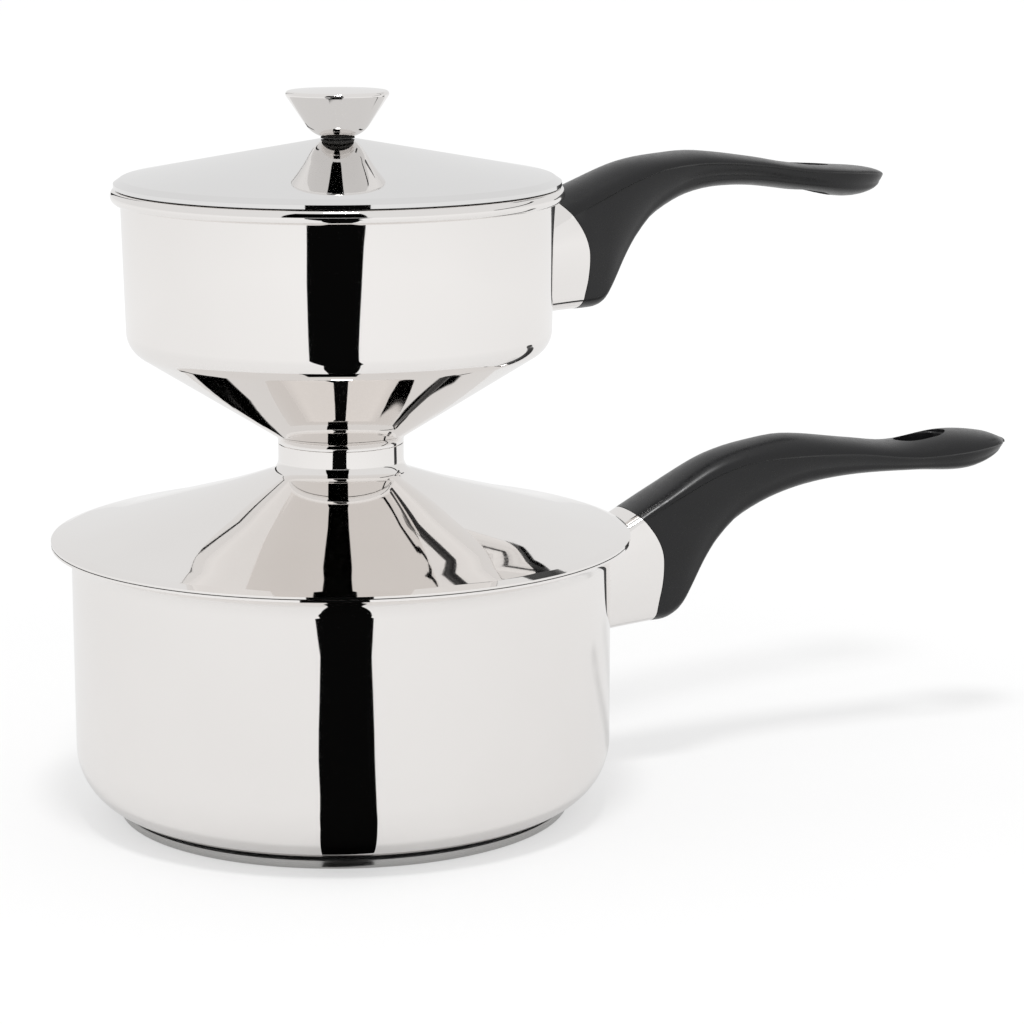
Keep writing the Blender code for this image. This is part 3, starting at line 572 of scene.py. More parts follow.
@dataclass(frozen=True)
class Screw:
    """A screw that points up, with a domed head and a tapered cross recess under it."""

    radius: float
    head_radius: float
    head_height: float
    end_rounding: float
    head_rounding: float
    arc_steps: int
    recess_bar: tuple[float, float] = (1.15, 0.30)
    recess_depth: float = 0.4
    recess_taper: float = 0.6

    def turn(self, lathe: Lathe, name: str, head_top: float, shank_top: float) -> Piece:
        """Make the screw on the pans' axis.

        Args:
            lathe: What it is turned on.
            name: The piece's name.
            head_top: The height at which the head bears.
            shank_top: The height of the shank's end.

        Returns:
            The screw.
        """
        head_foot = head_top - self.head_height
        profile = Outline.rounded([
            (0.0, shank_top, 0.0),
            (self.radius, shank_top, self.end_rounding),
            (self.radius, head_top, 0.0),
            (self.head_radius, head_top, 0.0),
            (self.head_radius, head_foot, self.head_rounding),
            (0.0, head_foot, 0.0),
        ], steps=self.arc_steps)
        screw = lathe.turn(name, profile, closed=False)
        mouth = Vector((0.0, 0.0, head_foot))
        for across, along in (self.recess_bar, self.recess_bar[::-1]):
            bar = Bench.block(Vector((across, along, 2 * self.recess_depth)) * self.head_radius, mouth)
            bpy.ops.object.mode_set(mode="EDIT")
            Bench.pick(bar, lambda vert: vert.co.z > head_foot)
            bpy.ops.transform.resize(value=(self.recess_taper, self.recess_taper, 1.0),
                                     center_override=mouth)
            bpy.ops.object.mode_set(mode="OBJECT")
            Bench.cut(screw, bar)
            Bench.drop(bar)
        return Bench.tidy(screw, TURNED_CREASE)


# Sub-assemblies


@dataclass
class Finishes:
    """The finishes that the sub-assemblies share."""

    mirror: Material = field(default_factory=lambda: mirror_steel(
        "mirror_steel", (0.915, 0.892, 0.874), (0.893, 0.869, 0.850)))
    lid: Material = field(default_factory=lambda: mirror_steel(
        "lid_steel", (0.858, 0.852, 0.848), (0.830, 0.824, 0.820)))
    brushed: Material = field(default_factory=lambda: brushed_steel(
        "brushed_steel", *BRUSHED_COLOURS))
    satin: Material = field(default_factory=lambda: brushed_steel(
        "satin_steel", (0.60, 0.595, 0.585), (0.46, 0.455, 0.447)))
    moulding: Material = field(default_factory=black_moulding)
    fibre: Material = field(default_factory=grey_fibre)
    aluminium: Material = field(default_factory=core_aluminium)


@dataclass
class Saucepan:
    """The saucepan's pressed shell and the cap and core of its base."""

    finishes: Finishes
    lathe: Lathe
    sheet: float = 0.0008
    wall_radius: float = 0.100
    height: float = 0.103
    corner: float = 0.023
    flare: float = 0.0074
    floor: float = 0.0032
    cap_radius: float = 0.0843
    cap_sheet: float = 0.0005
    cap_height: float = 0.0032
    cap_edge: float = 0.0012
    facing_in: float = 0.5
    facing_up: float = 0.3

    def outline(self) -> list[Vector]:
        """Return the shell's outside, from the axis along the floor and up to the rim's edge."""
        rim = self.height - self.sheet
        return Outline.rounded([
            (0.0, self.floor, 0.0),
            (self.wall_radius, self.floor, self.corner),
            (self.wall_radius, rim, self.flare),
            (self.wall_radius + self.flare, rim, 0.0),
        ], steps=20)

    def shell(self) -> Piece:
        """Return the shell, mirror outside and brushed inside."""
        shell = self.lathe.press("saucepan_pressed_shell", self.outline(), self.sheet)
        return dress(shell, self.finishes.mirror, self.finishes.brushed, self.is_inside)

    def is_inside(self, centre: Vector, normal: Vector) -> bool:
        """Tell the brushed inside of the wall and floor from the mirror outside."""
        radius = Vector((centre.x, centre.y)).length
        if radius > self.wall_radius:
            return False
        facing = outward(centre, normal)
        return facing < -self.facing_in or (normal.z > self.facing_up and facing < self.facing_up)

    def cap(self) -> Piece:
        """Return the base's steel cap, with turned rings on its underside."""
        outside = Outline.rounded([
            (0.0, 0.0, 0.0),
            (self.cap_radius, 0.0, self.cap_edge),
            (self.cap_radius, self.cap_height, 0.0),
        ], steps=6)
        cap = self.lathe.press("saucepan_base_cap", outside, self.cap_sheet)
        return dress(cap, self.finishes.satin)

    def build(self) -> None:
        """Make the saucepan's turned pieces."""
        hang(self.shell(), Body.SAUCEPAN, Slot.POLISHED, "saucepan_shell")
        hang(self.cap(), Body.SAUCEPAN, Slot.SATIN, "base_cap")
        dress(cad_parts["base_core"], self.finishes.aluminium)
        dress(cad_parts["saucepan_bracket"], self.finishes.satin)


@dataclass
class SteamingPan:
    """The steaming pan: skirt, locating ring, bowl and perforated plate."""

    finishes: Finishes
    lathe: Lathe
    saucepan: Saucepan
    sheet: float = 0.0008
    edge_roll: float = 0.0012
    edge_width: float = 0.0034
    edge_corner: float = 0.006
    break_radius: float = 0.0900
    break_rise: float = 0.0044
    break_fillet: float = 0.22
    bend_radius: float = 0.0450
    bend_rise: float = 0.0169
    bend_fillet: float = 0.36
    neck_rise: float = 0.0247
    neck_corner: float = 0.0055
    ring_depth: float = 0.008
    ring_edge: float = 0.0003
    neck_radius: float = 0.0232
    seam: float = 0.1385
    spigot_length: float = 0.012
    cone_corner: float = 0.003
    cone_foot_rise: float = 0.0024
    bowl_radius: float = 0.0792
    wall_taper: float = 0.0012
    shoulder_rise: float = 0.0345
    shoulder_corner: float = 0.010
    bowl_rise: float = 0.0553
    bead_half_width: float = 0.0022
    bead_half_height: float = 0.00265
    plate_inset: float = 0.0045
    plate_thickness: float = 0.0010
    plate_lip: float = 0.0030
    hole_radius: float = 0.0018
    hole_pitch: float = 0.0150
    hole_rings: int = 4
    holes_per_step: int = 6
    hole_sides: int = 20
    facing_under: float = 0.2
    facing_in: float = 0.3

    @property
    def bead_height(self) -> float:
        """Height of the bead's centre."""
        return self.seam + self.cone_foot_rise + self.shoulder_rise + self.bowl_rise

    @property
    def bead_top(self) -> float:
        """Height of the bead's top."""
        return self.bead_height + self.bead_half_height

    def skirt_outline(self) -> list[Vector]:
        """Return the skirt's upper side, from its edge on the saucepan's rim to the neck seam."""
        rim = self.saucepan.wall_radius + self.saucepan.flare
        edge = self.saucepan.height + TOUCHING + self.sheet
        return Outline.rounded([
            (rim, edge, 0.0),
            (rim - self.edge_width, edge + self.edge_roll, self.edge_corner),
            (self.break_radius, edge + self.break_rise, self.break_fillet),
            (self.bend_radius, edge + self.bend_rise, self.bend_fillet),
            (self.neck_radius, edge + self.neck_rise, self.neck_corner),
            (self.neck_radius, self.seam, 0.0),
        ], steps=14)

    def bowl_outline(self) -> list[Vector]:
        """Return the bowl's outside, from the neck seam up the cone and the wall."""
        foot = self.seam + self.cone_foot_rise
        return Outline.rounded([
            (self.neck_radius, self.seam, 0.0),
            (self.neck_radius, foot, self.cone_corner),
            (self.bowl_radius - self.wall_taper, foot + self.shoulder_rise, self.shoulder_corner),
            (self.bowl_radius, self.bead_height, 0.0),
        ], steps=16)

    def skirt(self) -> Piece:
        """Return the skirt, mirror above and brushed below."""
        outside = self.skirt_outline()
        inside = Outline.offset(outside, self.sheet)
        inside[0].x = outside[0].x
        skirt = self.lathe.turn("steamer_pressed_skirt", outside[::-1] + inside, closed=True)
        return dress(skirt, self.finishes.mirror, self.finishes.brushed, self.is_under)

    def is_under(self, centre: Vector, normal: Vector) -> bool:
        """Tell the skirt's underside from its upper side."""
        return min(normal.z, outward(centre, normal)) < -self.facing_under

    def ring(self) -> Piece:
        """Return the ring that centres the skirt in the saucepan's mouth."""
        inside = Outline.offset(self.skirt_outline(), self.sheet)
        outer = self.saucepan.wall_radius - self.saucepan.sheet - SLIDING
        inner = outer - self.sheet
        top = Outline.height_at(inside[::-1], outer) - TOUCHING
        foot = self.saucepan.height - self.ring_depth
        profile = Outline.rounded([
            (outer, top, 0.0),
            (outer, foot, self.ring_edge),
            (inner, foot, self.ring_edge),
            (inner, top, 0.0),
        ], steps=3)
        ring = self.lathe.turn("steamer_locating_ring", profile, closed=True)
        return dress(ring, self.finishes.satin)

    def bowl(self) -> Piece:
        """Return the bowl with its cone, rolled bead and spigot."""
        outside = self.bowl_outline()
        inside = Outline.offset(outside, self.sheet)
        spigot_outer = self.neck_radius - self.sheet - TOUCHING
        spigot_inner = spigot_outer - self.sheet
        spigot_foot = self.seam - self.spigot_length
        seam_face = self.seam + TOUCHING
        outside[0] = Vector((self.neck_radius, seam_face))
        inner_wall = inside[:-1]
        inner_wall[0] = Vector((spigot_inner, seam_face + self.sheet))
        spigot = [Vector((spigot_outer, seam_face)), Vector((spigot_outer, spigot_foot)),
                  Vector((spigot_inner, spigot_foot))]
        profile = self.bead() + outside[-2::-1] + spigot + inner_wall
        bowl = self.lathe.turn("steamer_pressed_bowl", profile, closed=True)
        return dress(bowl, self.finishes.mirror, self.finishes.brushed, self.is_in_bowl)

    def bead(self) -> list[Vector]:
        """Return the rolled rim, from its inner side over the top to where it meets the wall."""
        centre = Vector((self.bowl_radius - self.sheet + self.bead_half_width, self.bead_height))
        meets = (self.bowl_radius - centre.x) / self.bead_half_width
        start = pi
        end = -pi + atan2((1 - meets ** 2) ** 0.5, -meets)
        steps = 24
        turns = [start + (end - start) * step / steps for step in range(steps + 1)]
        return [centre + Vector((self.bead_half_width * cos(turn), self.bead_half_height * sin(turn)))
                for turn in turns]

    def is_in_bowl(self, centre: Vector, normal: Vector) -> bool:
        """Tell the bowl's brushed inside from its mirror outside and bead."""
        if centre.z > self.bead_height - self.bead_half_height:
            return False
        return outward(centre, normal) < -self.facing_in or normal.z > self.facing_in

    def plate(self) -> Piece:
        """Return the perforated plate with its rolled edge and punched holes."""
        radius = self.bowl_radius - self.wall_taper - self.plate_inset
        inside = Outline.offset(self.bowl_outline(), self.sheet)
        foot = Outline.height_at(inside, radius) + TOUCHING
        top = foot + self.plate_lip
        thin = self.plate_thickness
        profile = Outline.rounded([
            (0.0, top, 0.0),
            (radius, top, thin),
            (radius, foot, 0.0),
            (radius - thin, foot, 0.0),
            (radius - thin, top - thin, 0.0),
            (0.0, top - thin, 0.0),
        ], steps=6)
        plate = self.lathe.turn("steamer_punched_plate", profile, closed=False)
        punch = self.punches(top)
        Bench.cut(plate, punch)
        Bench.drop(punch)
        Bench.tidy(plate, TURNED_CREASE)
        return dress(plate, self.finishes.brushed)

    def punches(self, top: float) -> Piece:
        """Return every punch of the plate as one tool."""
        Bench.clear()
        made = []
        for ring in range(self.hole_rings + 1):
            count = max(1, ring * self.holes_per_step)
            for index in range(count):
                turn = 2 * pi * index / count
                spot = (ring * self.hole_pitch * cos(turn), ring * self.hole_pitch * sin(turn), top)
                bpy.ops.mesh.primitive_cylinder_add(
                    vertices=self.hole_sides, radius=self.hole_radius,
                    depth=4 * self.plate_lip, location=spot)
                made.append(bpy.context.object)
        for tool in made:
            tool.select_set(True)
        bpy.context.view_layer.objects.active = made[0]
        bpy.ops.object.join()
        made[0].name = "plate_punches"
        return made[0]

    def build(self) -> None:
        """Make the steaming pan's turned pieces and its plate."""
        hang(self.skirt(), Body.STEAMER, Slot.POLISHED, "steamer_skirt")
        hang(self.ring(), Body.STEAMER, Slot.SATIN, "locating_ring")
        hang(self.bowl(), Body.STEAMER, Slot.POLISHED, "steamer_bowl")
        hang(self.plate(), Body.PLATE, Slot.SATIN, "perforated_plate")
        dress(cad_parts["steamer_bracket"], self.finishes.satin)


@dataclass
class Lid:
    """The conical lid with its knob, washer, nut plate and screw."""

    finishes: Finishes
    lathe: Lathe
    pan: SteamingPan
    sheet: float = 0.0008
    overhang: float = 0.0024
    rim_thickness: float = 0.0014
    edge_rise: float = 0.0032
    edge_width: float = 0.0026
    edge_corner: float = 0.002
    cone_rise: float = 0.0135
    flat_radius: float = 0.0072
    flange_depth: float = 0.0085
    washer_radius: float = 0.0062
    washer_thickness: float = 0.0006
    washer_rounding: float = 0.0002
    knob_neck: float = 0.0066
    knob_foot_radius: float = 0.0100
    knob_foot_rise: float = 0.0015
    knob_foot_corner: float = 0.010
    knob_rim_radius: float = 0.0198
    knob_height: float = 0.0172
    knob_crown: float = 0.0010
    knob_rim_corner: float = 0.0012
    bolt: Screw = Screw(radius=0.0020, head_radius=0.0040, head_height=0.0022,
                        end_rounding=0.0003, head_rounding=0.0011, arc_steps=6)
    screw_length: float = 0.0125
    nut_radius: float = 0.0070
    nut_thickness: float = 0.0010
    nut_rounding: float = 0.0003
    facing_up: float = 0.2

    @property
    def foot(self) -> float:
        """Height of the lid's rim on the bead."""
        return self.pan.bead_top + TOUCHING

    @property
    def top(self) -> float:
        """Height of the flat seat under the knob."""
        return self.foot + self.edge_rise + self.cone_rise

    @property
    def hole(self) -> float:
        """Radius of the screw's hole."""
        return self.bolt.radius + TOUCHING

    def slope(self) -> float:
        """Return the cone's rise for its run."""
        return self.cone_rise / (self.pan.bowl_radius + self.overhang - self.edge_width - self.flat_radius)

    def underside(self) -> float:
        """Return the height of the sheet's underside at the flat seat."""
        return self.top - self.sheet * (1 + self.slope() ** 2) ** 0.5

    def shell(self) -> Piece:
        """Return the lid's shell, mirror above and brushed below."""
        rim = self.pan.bowl_radius + self.overhang
        cone_edge = rim - self.edge_width
        cone_foot = self.foot + self.edge_rise
        top_side = Outline.rounded([
            (self.hole, self.top, 0.0),
            (self.flat_radius, self.top, 0.0),
            (cone_edge, cone_foot, self.edge_corner),
            (rim, self.foot + self.rim_thickness, 0.0),
            (rim, self.foot, 0.0),
        ], steps=10)
        outer = self.pan.bowl_radius - self.sheet - SLIDING
        inner = outer - self.sheet
        flange_foot = self.foot - self.flange_depth
        sheet_drop = self.top - self.underside()
        roof = cone_foot + (cone_edge - inner) * self.slope() - sheet_drop
        under_side = [Vector(point) for point in (
            (outer, self.foot), (outer, flange_foot), (inner, flange_foot), (inner, roof),
            (self.flat_radius, self.underside()), (self.hole, self.underside()))]
        shell = self.lathe.turn("lid_pressed_shell", top_side + under_side, closed=True)
        return dress(shell, self.finishes.lid, self.finishes.brushed, self.is_under)

    def is_under(self, centre: Vector, normal: Vector) -> bool:
        """Tell the lid's inside from its mirror top and rim."""
        within = Vector((centre.x, centre.y)).length < self.pan.bowl_radius - self.sheet
        return within and normal.z < self.facing_up

    def knob(self) -> Piece:
        """Return the turned knob, bored for its screw."""
        knob_foot = self.top + 2 * TOUCHING + self.washer_thickness
        knob_top = knob_foot + self.knob_height
        outside = Outline.rounded([
            (0.0, knob_top, 0.0),
            (self.knob_rim_radius, knob_top - self.knob_crown, self.knob_rim_corner),
            (self.knob_foot_radius, knob_foot + self.knob_foot_rise, self.knob_foot_corner),
            (self.knob_neck, knob_foot, 0.0),
            (self.hole, knob_foot, 0.0),
        ], steps=12)
        bore = [Vector((self.hole, self.screw_top() + TOUCHING)),
                Vector((0.0, self.screw_top() + TOUCHING))]
        knob = self.lathe.turn("lid_turned_knob", outside + bore, closed=False)
        return dress(knob, self.finishes.mirror)

    def screw_top(self) -> float:
        """Return the height of the knob screw's upper end."""
        return self.underside() - 2 * TOUCHING - self.nut_thickness + self.screw_length

    def disc(self, name: str, radius: float, top: float, thickness: float,
             roundings: tuple[float, float], steps: int) -> Piece:
        """Return a flat ring round the screw.

        Args:
            name: The piece's name.
            radius: Its outer radius.
            top: The height of its upper face.
            thickness: How thick it is.
            roundings: How far its outer edge is rounded above and below.
            steps: The faces over a rounding.

        Returns:
            The undressed ring.
        """
        upper, lower = roundings
        return self.lathe.turn(name, Outline.rounded([
            (self.hole, top, 0.0), (radius, top, upper),
            (radius, top - thickness, lower), (self.hole, top - thickness, 0.0)], steps), closed=True)

    def washer(self) -> Piece:
        """Return the fibre washer under the knob."""
        top = self.top + TOUCHING + self.washer_thickness
        washer = self.disc("lid_fibre_washer", self.washer_radius, top, self.washer_thickness,
                           (self.washer_rounding, self.washer_rounding), steps=3)
        return dress(washer, self.finishes.fibre)

    def nut_plate(self) -> Piece:
        """Return the round plate that spreads the screw's pull under the lid."""
        plate = self.disc("lid_nut_plate", self.nut_radius, self.underside() - TOUCHING,
                          self.nut_thickness, (0.0, self.nut_rounding), steps=4)
        return dress(plate, self.finishes.satin)

    def screw(self) -> Piece:
        """Return the knob's screw."""
        head_top = self.underside() - 2 * TOUCHING - self.nut_thickness
        screw = self.bolt.turn(self.lathe, "lid_knob_screw", head_top, self.screw_top())
        return dress(screw, self.finishes.satin)

    def build(self) -> None:
        """Make the lid's pieces."""
        hang(self.shell(), Body.LID, Slot.POLISHED, "lid_shell")
        hang(self.knob(), Body.LID, Slot.POLISHED, "lid_knob")
        hang(self.washer(), Body.LID, Slot.FIBRE, "knob_washer")
        hang(self.nut_plate(), Body.LID, Slot.SATIN, "knob_nut_plate")
        hang(self.screw(), Body.LID, Slot.SATIN, "knob_screw")


# Grips


@dataclass(frozen=True)
class GripLines:
    """A grip's lines, outwards from the wall and up from the mounting height.

    The rows of heights and reaches are in millimetres, and the lines made from them in metres.
    """

    crown_heights: Sequence[float]
    ridge_heights: Sequence[float]
    belly_heights: Sequence[float]
    crown_reaches: Sequence[float] = (-6, 0, 8, 17, 29, 53, 78, 90, 116, 135, 160, 177.5, 186.5)
    ridge_reaches: Sequence[float] = (-6, 0, 12, 24, 34, 52, 67, 89, 114, 140, 160, 178.5, 186.5)
    belly_reaches: Sequence[float] = (-6, 10, 26.5, 32, 36.5, 39.4, 42.4, 48.6, 54.8, 64.5, 85, 110, 142,
                                      165, 177.5, 186.5)
    ridge_half: Line = metres((-6, 30, 50, 100, 130, 158, 172, 181, 186),
                              (12.5, 12.2, 11.5, 11.5, 12.1, 15.0, 13.7, 9.6, 3.0))
    belly_half: Line = metres((-6, 30, 60, 110, 136, 158, 172, 181, 186),
                              (10.0, 9.2, 7.8, 8.2, 9.8, 12.6, 11.0, 7.2, 2.0))
    seam: Line = metres((10.0, 14.0, 16.5, 21.0, 25.0, 27.5, 28.3, 28.2, 27.3, 25.8),
                        (20.0, 12.0, 7.0, 2.0, -3.5, -9.0, -14.0, -22.0, -29.0, -44.0))
    seam_points: int = 40

    @property
    def crown(self) -> Line:
        """The line along the top."""
        return metres(self.crown_reaches, self.crown_heights)

    @property
    def ridge(self) -> Line:
        """The line at which the grip is widest."""
        return metres(self.ridge_reaches, self.ridge_heights)

    @property
    def belly(self) -> Line:
        """The line along the underside."""
        return metres(self.belly_reaches, self.belly_heights)

    @property
    def tip(self) -> float:
        """Distance of the tip from the wall."""
        return self.crown[-1][0]

    @staticmethod
    def value(line: Line, reach: float) -> float:
        """Return the value of a smooth line through (reach, value) points."""
        last = len(line) - 1
        slopes = []
        for index in range(last + 1):
            before = line[max(index - 1, 0)]
            after = line[min(index + 1, last)]
            slopes.append((after[1] - before[1]) / (after[0] - before[0]))
        index = next((i for i in range(last) if reach <= line[i + 1][0]), last - 1)
        (start, low), (end, high) = line[index], line[index + 1]
        span = end - start
        t = min(max((reach - start) / span, 0.0), 1.0)
        return ((2 * t ** 3 - 3 * t ** 2 + 1) * low + (t ** 3 - 2 * t ** 2 + t) * span * slopes[index]
                + (3 * t ** 2 - 2 * t ** 3) * high + (t ** 3 - t ** 2) * span * slopes[index + 1])

    def smooth_seam(self) -> list[tuple[float, float]]:
        """Return the seam between ferrule and grip with many points."""
        falling = [(-up, reach) for reach, up in self.seam]
        first, last = falling[0][0], falling[-1][0]
        ups = [first + (last - first) * index / self.seam_points for index in range(self.seam_points + 1)]
        return [(self.value(falling, up), -up) for up in ups]


@dataclass
class Grip:
    """A moulded grip with its ferrule and screw, modelled in its own plane and then placed."""

    lines: GripLines
    back: float = -0.006
    runs: Sequence[tuple[float, float, int]] = (
        (-0.006, 0.030, 9), (0.030, 0.054, 16), (0.054, 0.130, 19), (0.130, 0.172, 14))
    tip_steps: int = 14
    undercut: float = 0.0006
    undercut_start: float = 0.018
    ridge_width: float = 0.0002
    swell: float = 0.03
    belly_round: float = 0.0060
    belly_share: float = 0.45
    crown_steps: int = 10
    side_steps: int = 6
    belly_steps: int = 8
    wall_side: float = -0.026
    prism_half: float = 0.03
    ferrule_sheet: float = 0.0010
    spigot_reach: float = 0.040
    core_reach: float = 0.048
    spigot_length: float = 0.005
    tongue_end: float = 0.0437
    tongue_width: float = 0.012
    tongue_height: float = 0.005
    tongue_drop: float = 0.012
    mortise_back: float = -0.01
    eye_from_tip: float = 0.0390
    eye_half_length: float = 0.0110
    eye_half_width: float = 0.0062
    eye_rounding: float = 0.0008
    eye_beyond: float = 0.004
    eye_sides: int = 64
    eye_steps: int = 6
    screw_reach: float = 0.0340
    bolt: Screw = Screw(radius=0.0019, head_radius=0.0034, head_height=0.0026,
                        end_rounding=0.0004, head_rounding=0.0010, arc_steps=5)
    screw_seat: float = 0.0265
    sink_below: float = 0.01
    bore_sides: int = 40

    def section(self, reach: float, inset: float) -> list[Vector]:
        """Return the ring of points round the grip at a distance from the wall.

        Args:
            reach: The distance from the wall.
            inset: How far the ring is drawn in.

        Returns:
            The points, from the crown down the right side and up the left.
        """
        lines = self.lines
        shifts = ((lines.crown, -inset), (lines.ridge, 0.0), (lines.belly, inset),
                  (lines.ridge_half, -inset), (lines.belly_half, -inset))
        crown, ridge, belly, half_width, belly_half = (
            lines.value(line, reach) + shift for line, shift in shifts)
        grows = (min(max(reach / self.undercut_start - 1, 0.0), 1.0)
                 * min((lines.tip - reach) / self.undercut_start, 1.0))
        step = self.undercut * grows
        rounding = min(self.belly_round, self.belly_share * (ridge - belly))
        half = [(half_width * rise, ridge + (crown - ridge) * run)
                for rise, run in quarter(self.crown_steps)]
        shelf = Vector((half_width - step, ridge - max(step, self.ridge_width)))
        foot = Vector((belly_half, belly + rounding))
        for index in range(self.side_steps):
            share = index / self.side_steps
            point = shelf.lerp(foot, share)
            half.append((point.x + self.swell * (ridge - belly) * 4 * share * (1 - share), point.y))
        half += [(belly_half * run, belly + rounding * (1 - rise))
                 for rise, run in quarter(self.belly_steps)]
        right = [Vector((reach, across, up)) for across, up in half]
        left = [Vector((reach, -across, up)) for across, up in half[-2:0:-1]]
        return right + left

    def stations(self) -> list[float]:
        """Return where the sections stand: closest at the heel and towards the tip."""
        reaches = [start + (end - start) * index / count
                   for start, end, count in self.runs for index in range(count)]
        last = self.runs[-1][1]
        return reaches + [last + (self.lines.tip - last) * rise for rise, _ in quarter(self.tip_steps)]

    def blank(self, name: str, inset: float = 0.0, limit: Optional[float] = None) -> Piece:
        """Extrude the grip's full form from section to section.

        Args:
            name: The piece's name.
            inset: How far every section is drawn in.
            limit: Where the form ends, if it is only the root end.

        Returns:
            The closed form.
        """
        reaches = self.stations()
        if limit:
            reaches = [reach for reach in reaches if reach < limit] + [limit]
        first = self.section(reaches[0], inset)
        piece = Bench.fill(name, first)
        mesh = bmesh.from_edit_mesh(piece.data)
        order = mesh.verts.layers.int.new("order")
        for vert in mesh.verts:
            spots = [(vert.co - point).length for point in first]
            vert[order] = spots.index(min(spots))
        bmesh.update_edit_mesh(piece.data)
        for before, reach in zip(reaches, reaches[1:]):
            bpy.ops.mesh.extrude_region_move(
                TRANSFORM_OT_translate={"value": (reach - before, 0.0, 0.0)})
            ring = self.section(reach, inset)
            mesh = bmesh.from_edit_mesh(piece.data)
            order = mesh.verts.layers.int["order"]
            for vert in mesh.verts:
                if vert.select:
                    vert.co = ring[vert[order]]
            bmesh.update_edit_mesh(piece.data)
        return Bench.tidy(piece, GRIP_CREASE)

    def prism(self, name: str, outline: Sequence[tuple[float, float]]) -> Piece:
        """Extrude an outline in the grip's plane to both sides, wider than the grip."""
        piece = Bench.fill(name, [Vector((reach, -self.prism_half, up)) for reach, up in outline])
        bpy.ops.mesh.extrude_region_move(TRANSFORM_OT_translate={"value": (0.0, 2 * self.prism_half, 0.0)})
        return Bench.tidy(piece, GRIP_CREASE)

    def root_side(self, shift: float) -> list[tuple[float, float]]:
        """Return the outline of everything on the wall side of the seam, moved outwards by a shift."""
        seam = [(reach + shift, up) for reach, up in self.lines.smooth_seam()]
        return [(self.wall_side, seam[0][1])] + seam + [(self.wall_side, seam[-1][1])]

    def band_side(self, near: float, far: float) -> list[tuple[float, float]]:
        """Return the outline of the band between two shifts of the seam."""
        seam = self.lines.smooth_seam()
        return ([(reach + far, up) for reach, up in seam]
                + [(reach + near, up) for reach, up in seam[::-1]])

    def moulding(self) -> Piece:
        """Return the grip with its spigot, mortise, screw hole and hanging eye."""
        gap = TOUCHING
        grip = self.blank("grip_moulding")
        root = self.prism("grip_root", self.root_side(gap))
        Bench.cut(grip, root)
        spigot = self.blank("grip_spigot", self.ferrule_sheet + gap, self.spigot_reach)
        band = self.prism("grip_band", self.band_side(-self.spigot_length, 2 * self.ferrule_sheet))
        Bench.cut(spigot, band, "INTERSECT")
        Bench.cut(grip, spigot, "UNION")
        top = -self.tongue_drop + self.tongue_height / 2 + gap
        foot = -self.tongue_drop - self.tongue_height / 2 - gap
        back = self.mortise_back
        reach = self.tongue_end + gap - back
        mortise = Bench.block((reach, self.tongue_width + 2 * gap, top - foot),
                              (reach / 2 + back, 0.0, (top + foot) / 2))
        heel = self.lines.value(self.lines.belly, self.screw_reach)
        hole = self.bore("grip_screw_hole", self.bolt.radius + gap, heel, top)
        sink = self.bore("grip_counterbore", self.bolt.head_radius + gap, heel - self.sink_below,
                         -self.screw_seat)
        eye = self.eye()
        for tool in (mortise, hole, sink, eye):
            Bench.cut(grip, tool)
        Bench.drop(root, spigot, band, mortise, hole, sink, eye)
        return Bench.tidy(grip, GRIP_CREASE)

    def bore(self, name: str, radius: float, foot: float, top: float) -> Piece:
        """Return an upright round tool at the screw."""
        Bench.clear()
        bpy.ops.mesh.primitive_cylinder_add(vertices=self.bore_sides, radius=radius, depth=top - foot,
                                            location=(self.screw_reach, 0.0, (foot + top) / 2))
        tool = bpy.context.object
        tool.name = name
        bpy.ops.object.transform_apply()
        return tool

    def eye(self) -> Piece:
        """Return the tool of the hanging eye: an oval that flares at both faces."""
        reach = self.lines.tip - self.eye_from_tip
        low = self.lines.value(self.lines.belly, reach)
        high = self.lines.value(self.lines.crown, reach)
        round_off = self.eye_rounding
        levels = [(low - self.eye_beyond, round_off)]
        levels += [(low + round_off * (1 - run), round_off * (1 - rise))
                   for rise, run in quarter(self.eye_steps)]
        levels += [(high - (height - low), flare) for height, flare in levels[:0:-1]]
        levels.append((high + self.eye_beyond, round_off))
        Bench.clear()
        bpy.ops.mesh.primitive_circle_add(vertices=self.eye_sides, radius=1.0, fill_type="NGON",
                                          location=(reach, 0.0, levels[0][0]))
        tool = bpy.context.object
        tool.name = "grip_eye"
        tool.scale = (self.eye_half_length + levels[0][1], self.eye_half_width + levels[0][1], 1.0)
        bpy.ops.object.transform_apply()
        bpy.ops.object.mode_set(mode="EDIT")
        bpy.ops.mesh.select_all(action="SELECT")
        for (height, flare), (next_height, next_flare) in zip(levels, levels[1:]):
            bpy.ops.mesh.extrude_region_move(
                TRANSFORM_OT_translate={"value": (0.0, 0.0, next_height - height)})
            wide = (self.eye_half_length + next_flare) / (self.eye_half_length + flare)
            deep = (self.eye_half_width + next_flare) / (self.eye_half_width + flare)
            bpy.ops.transform.resize(value=(wide, deep, 1.0), center_override=(reach, 0.0, next_height))
        return Bench.tidy(tool, GRIP_CREASE)

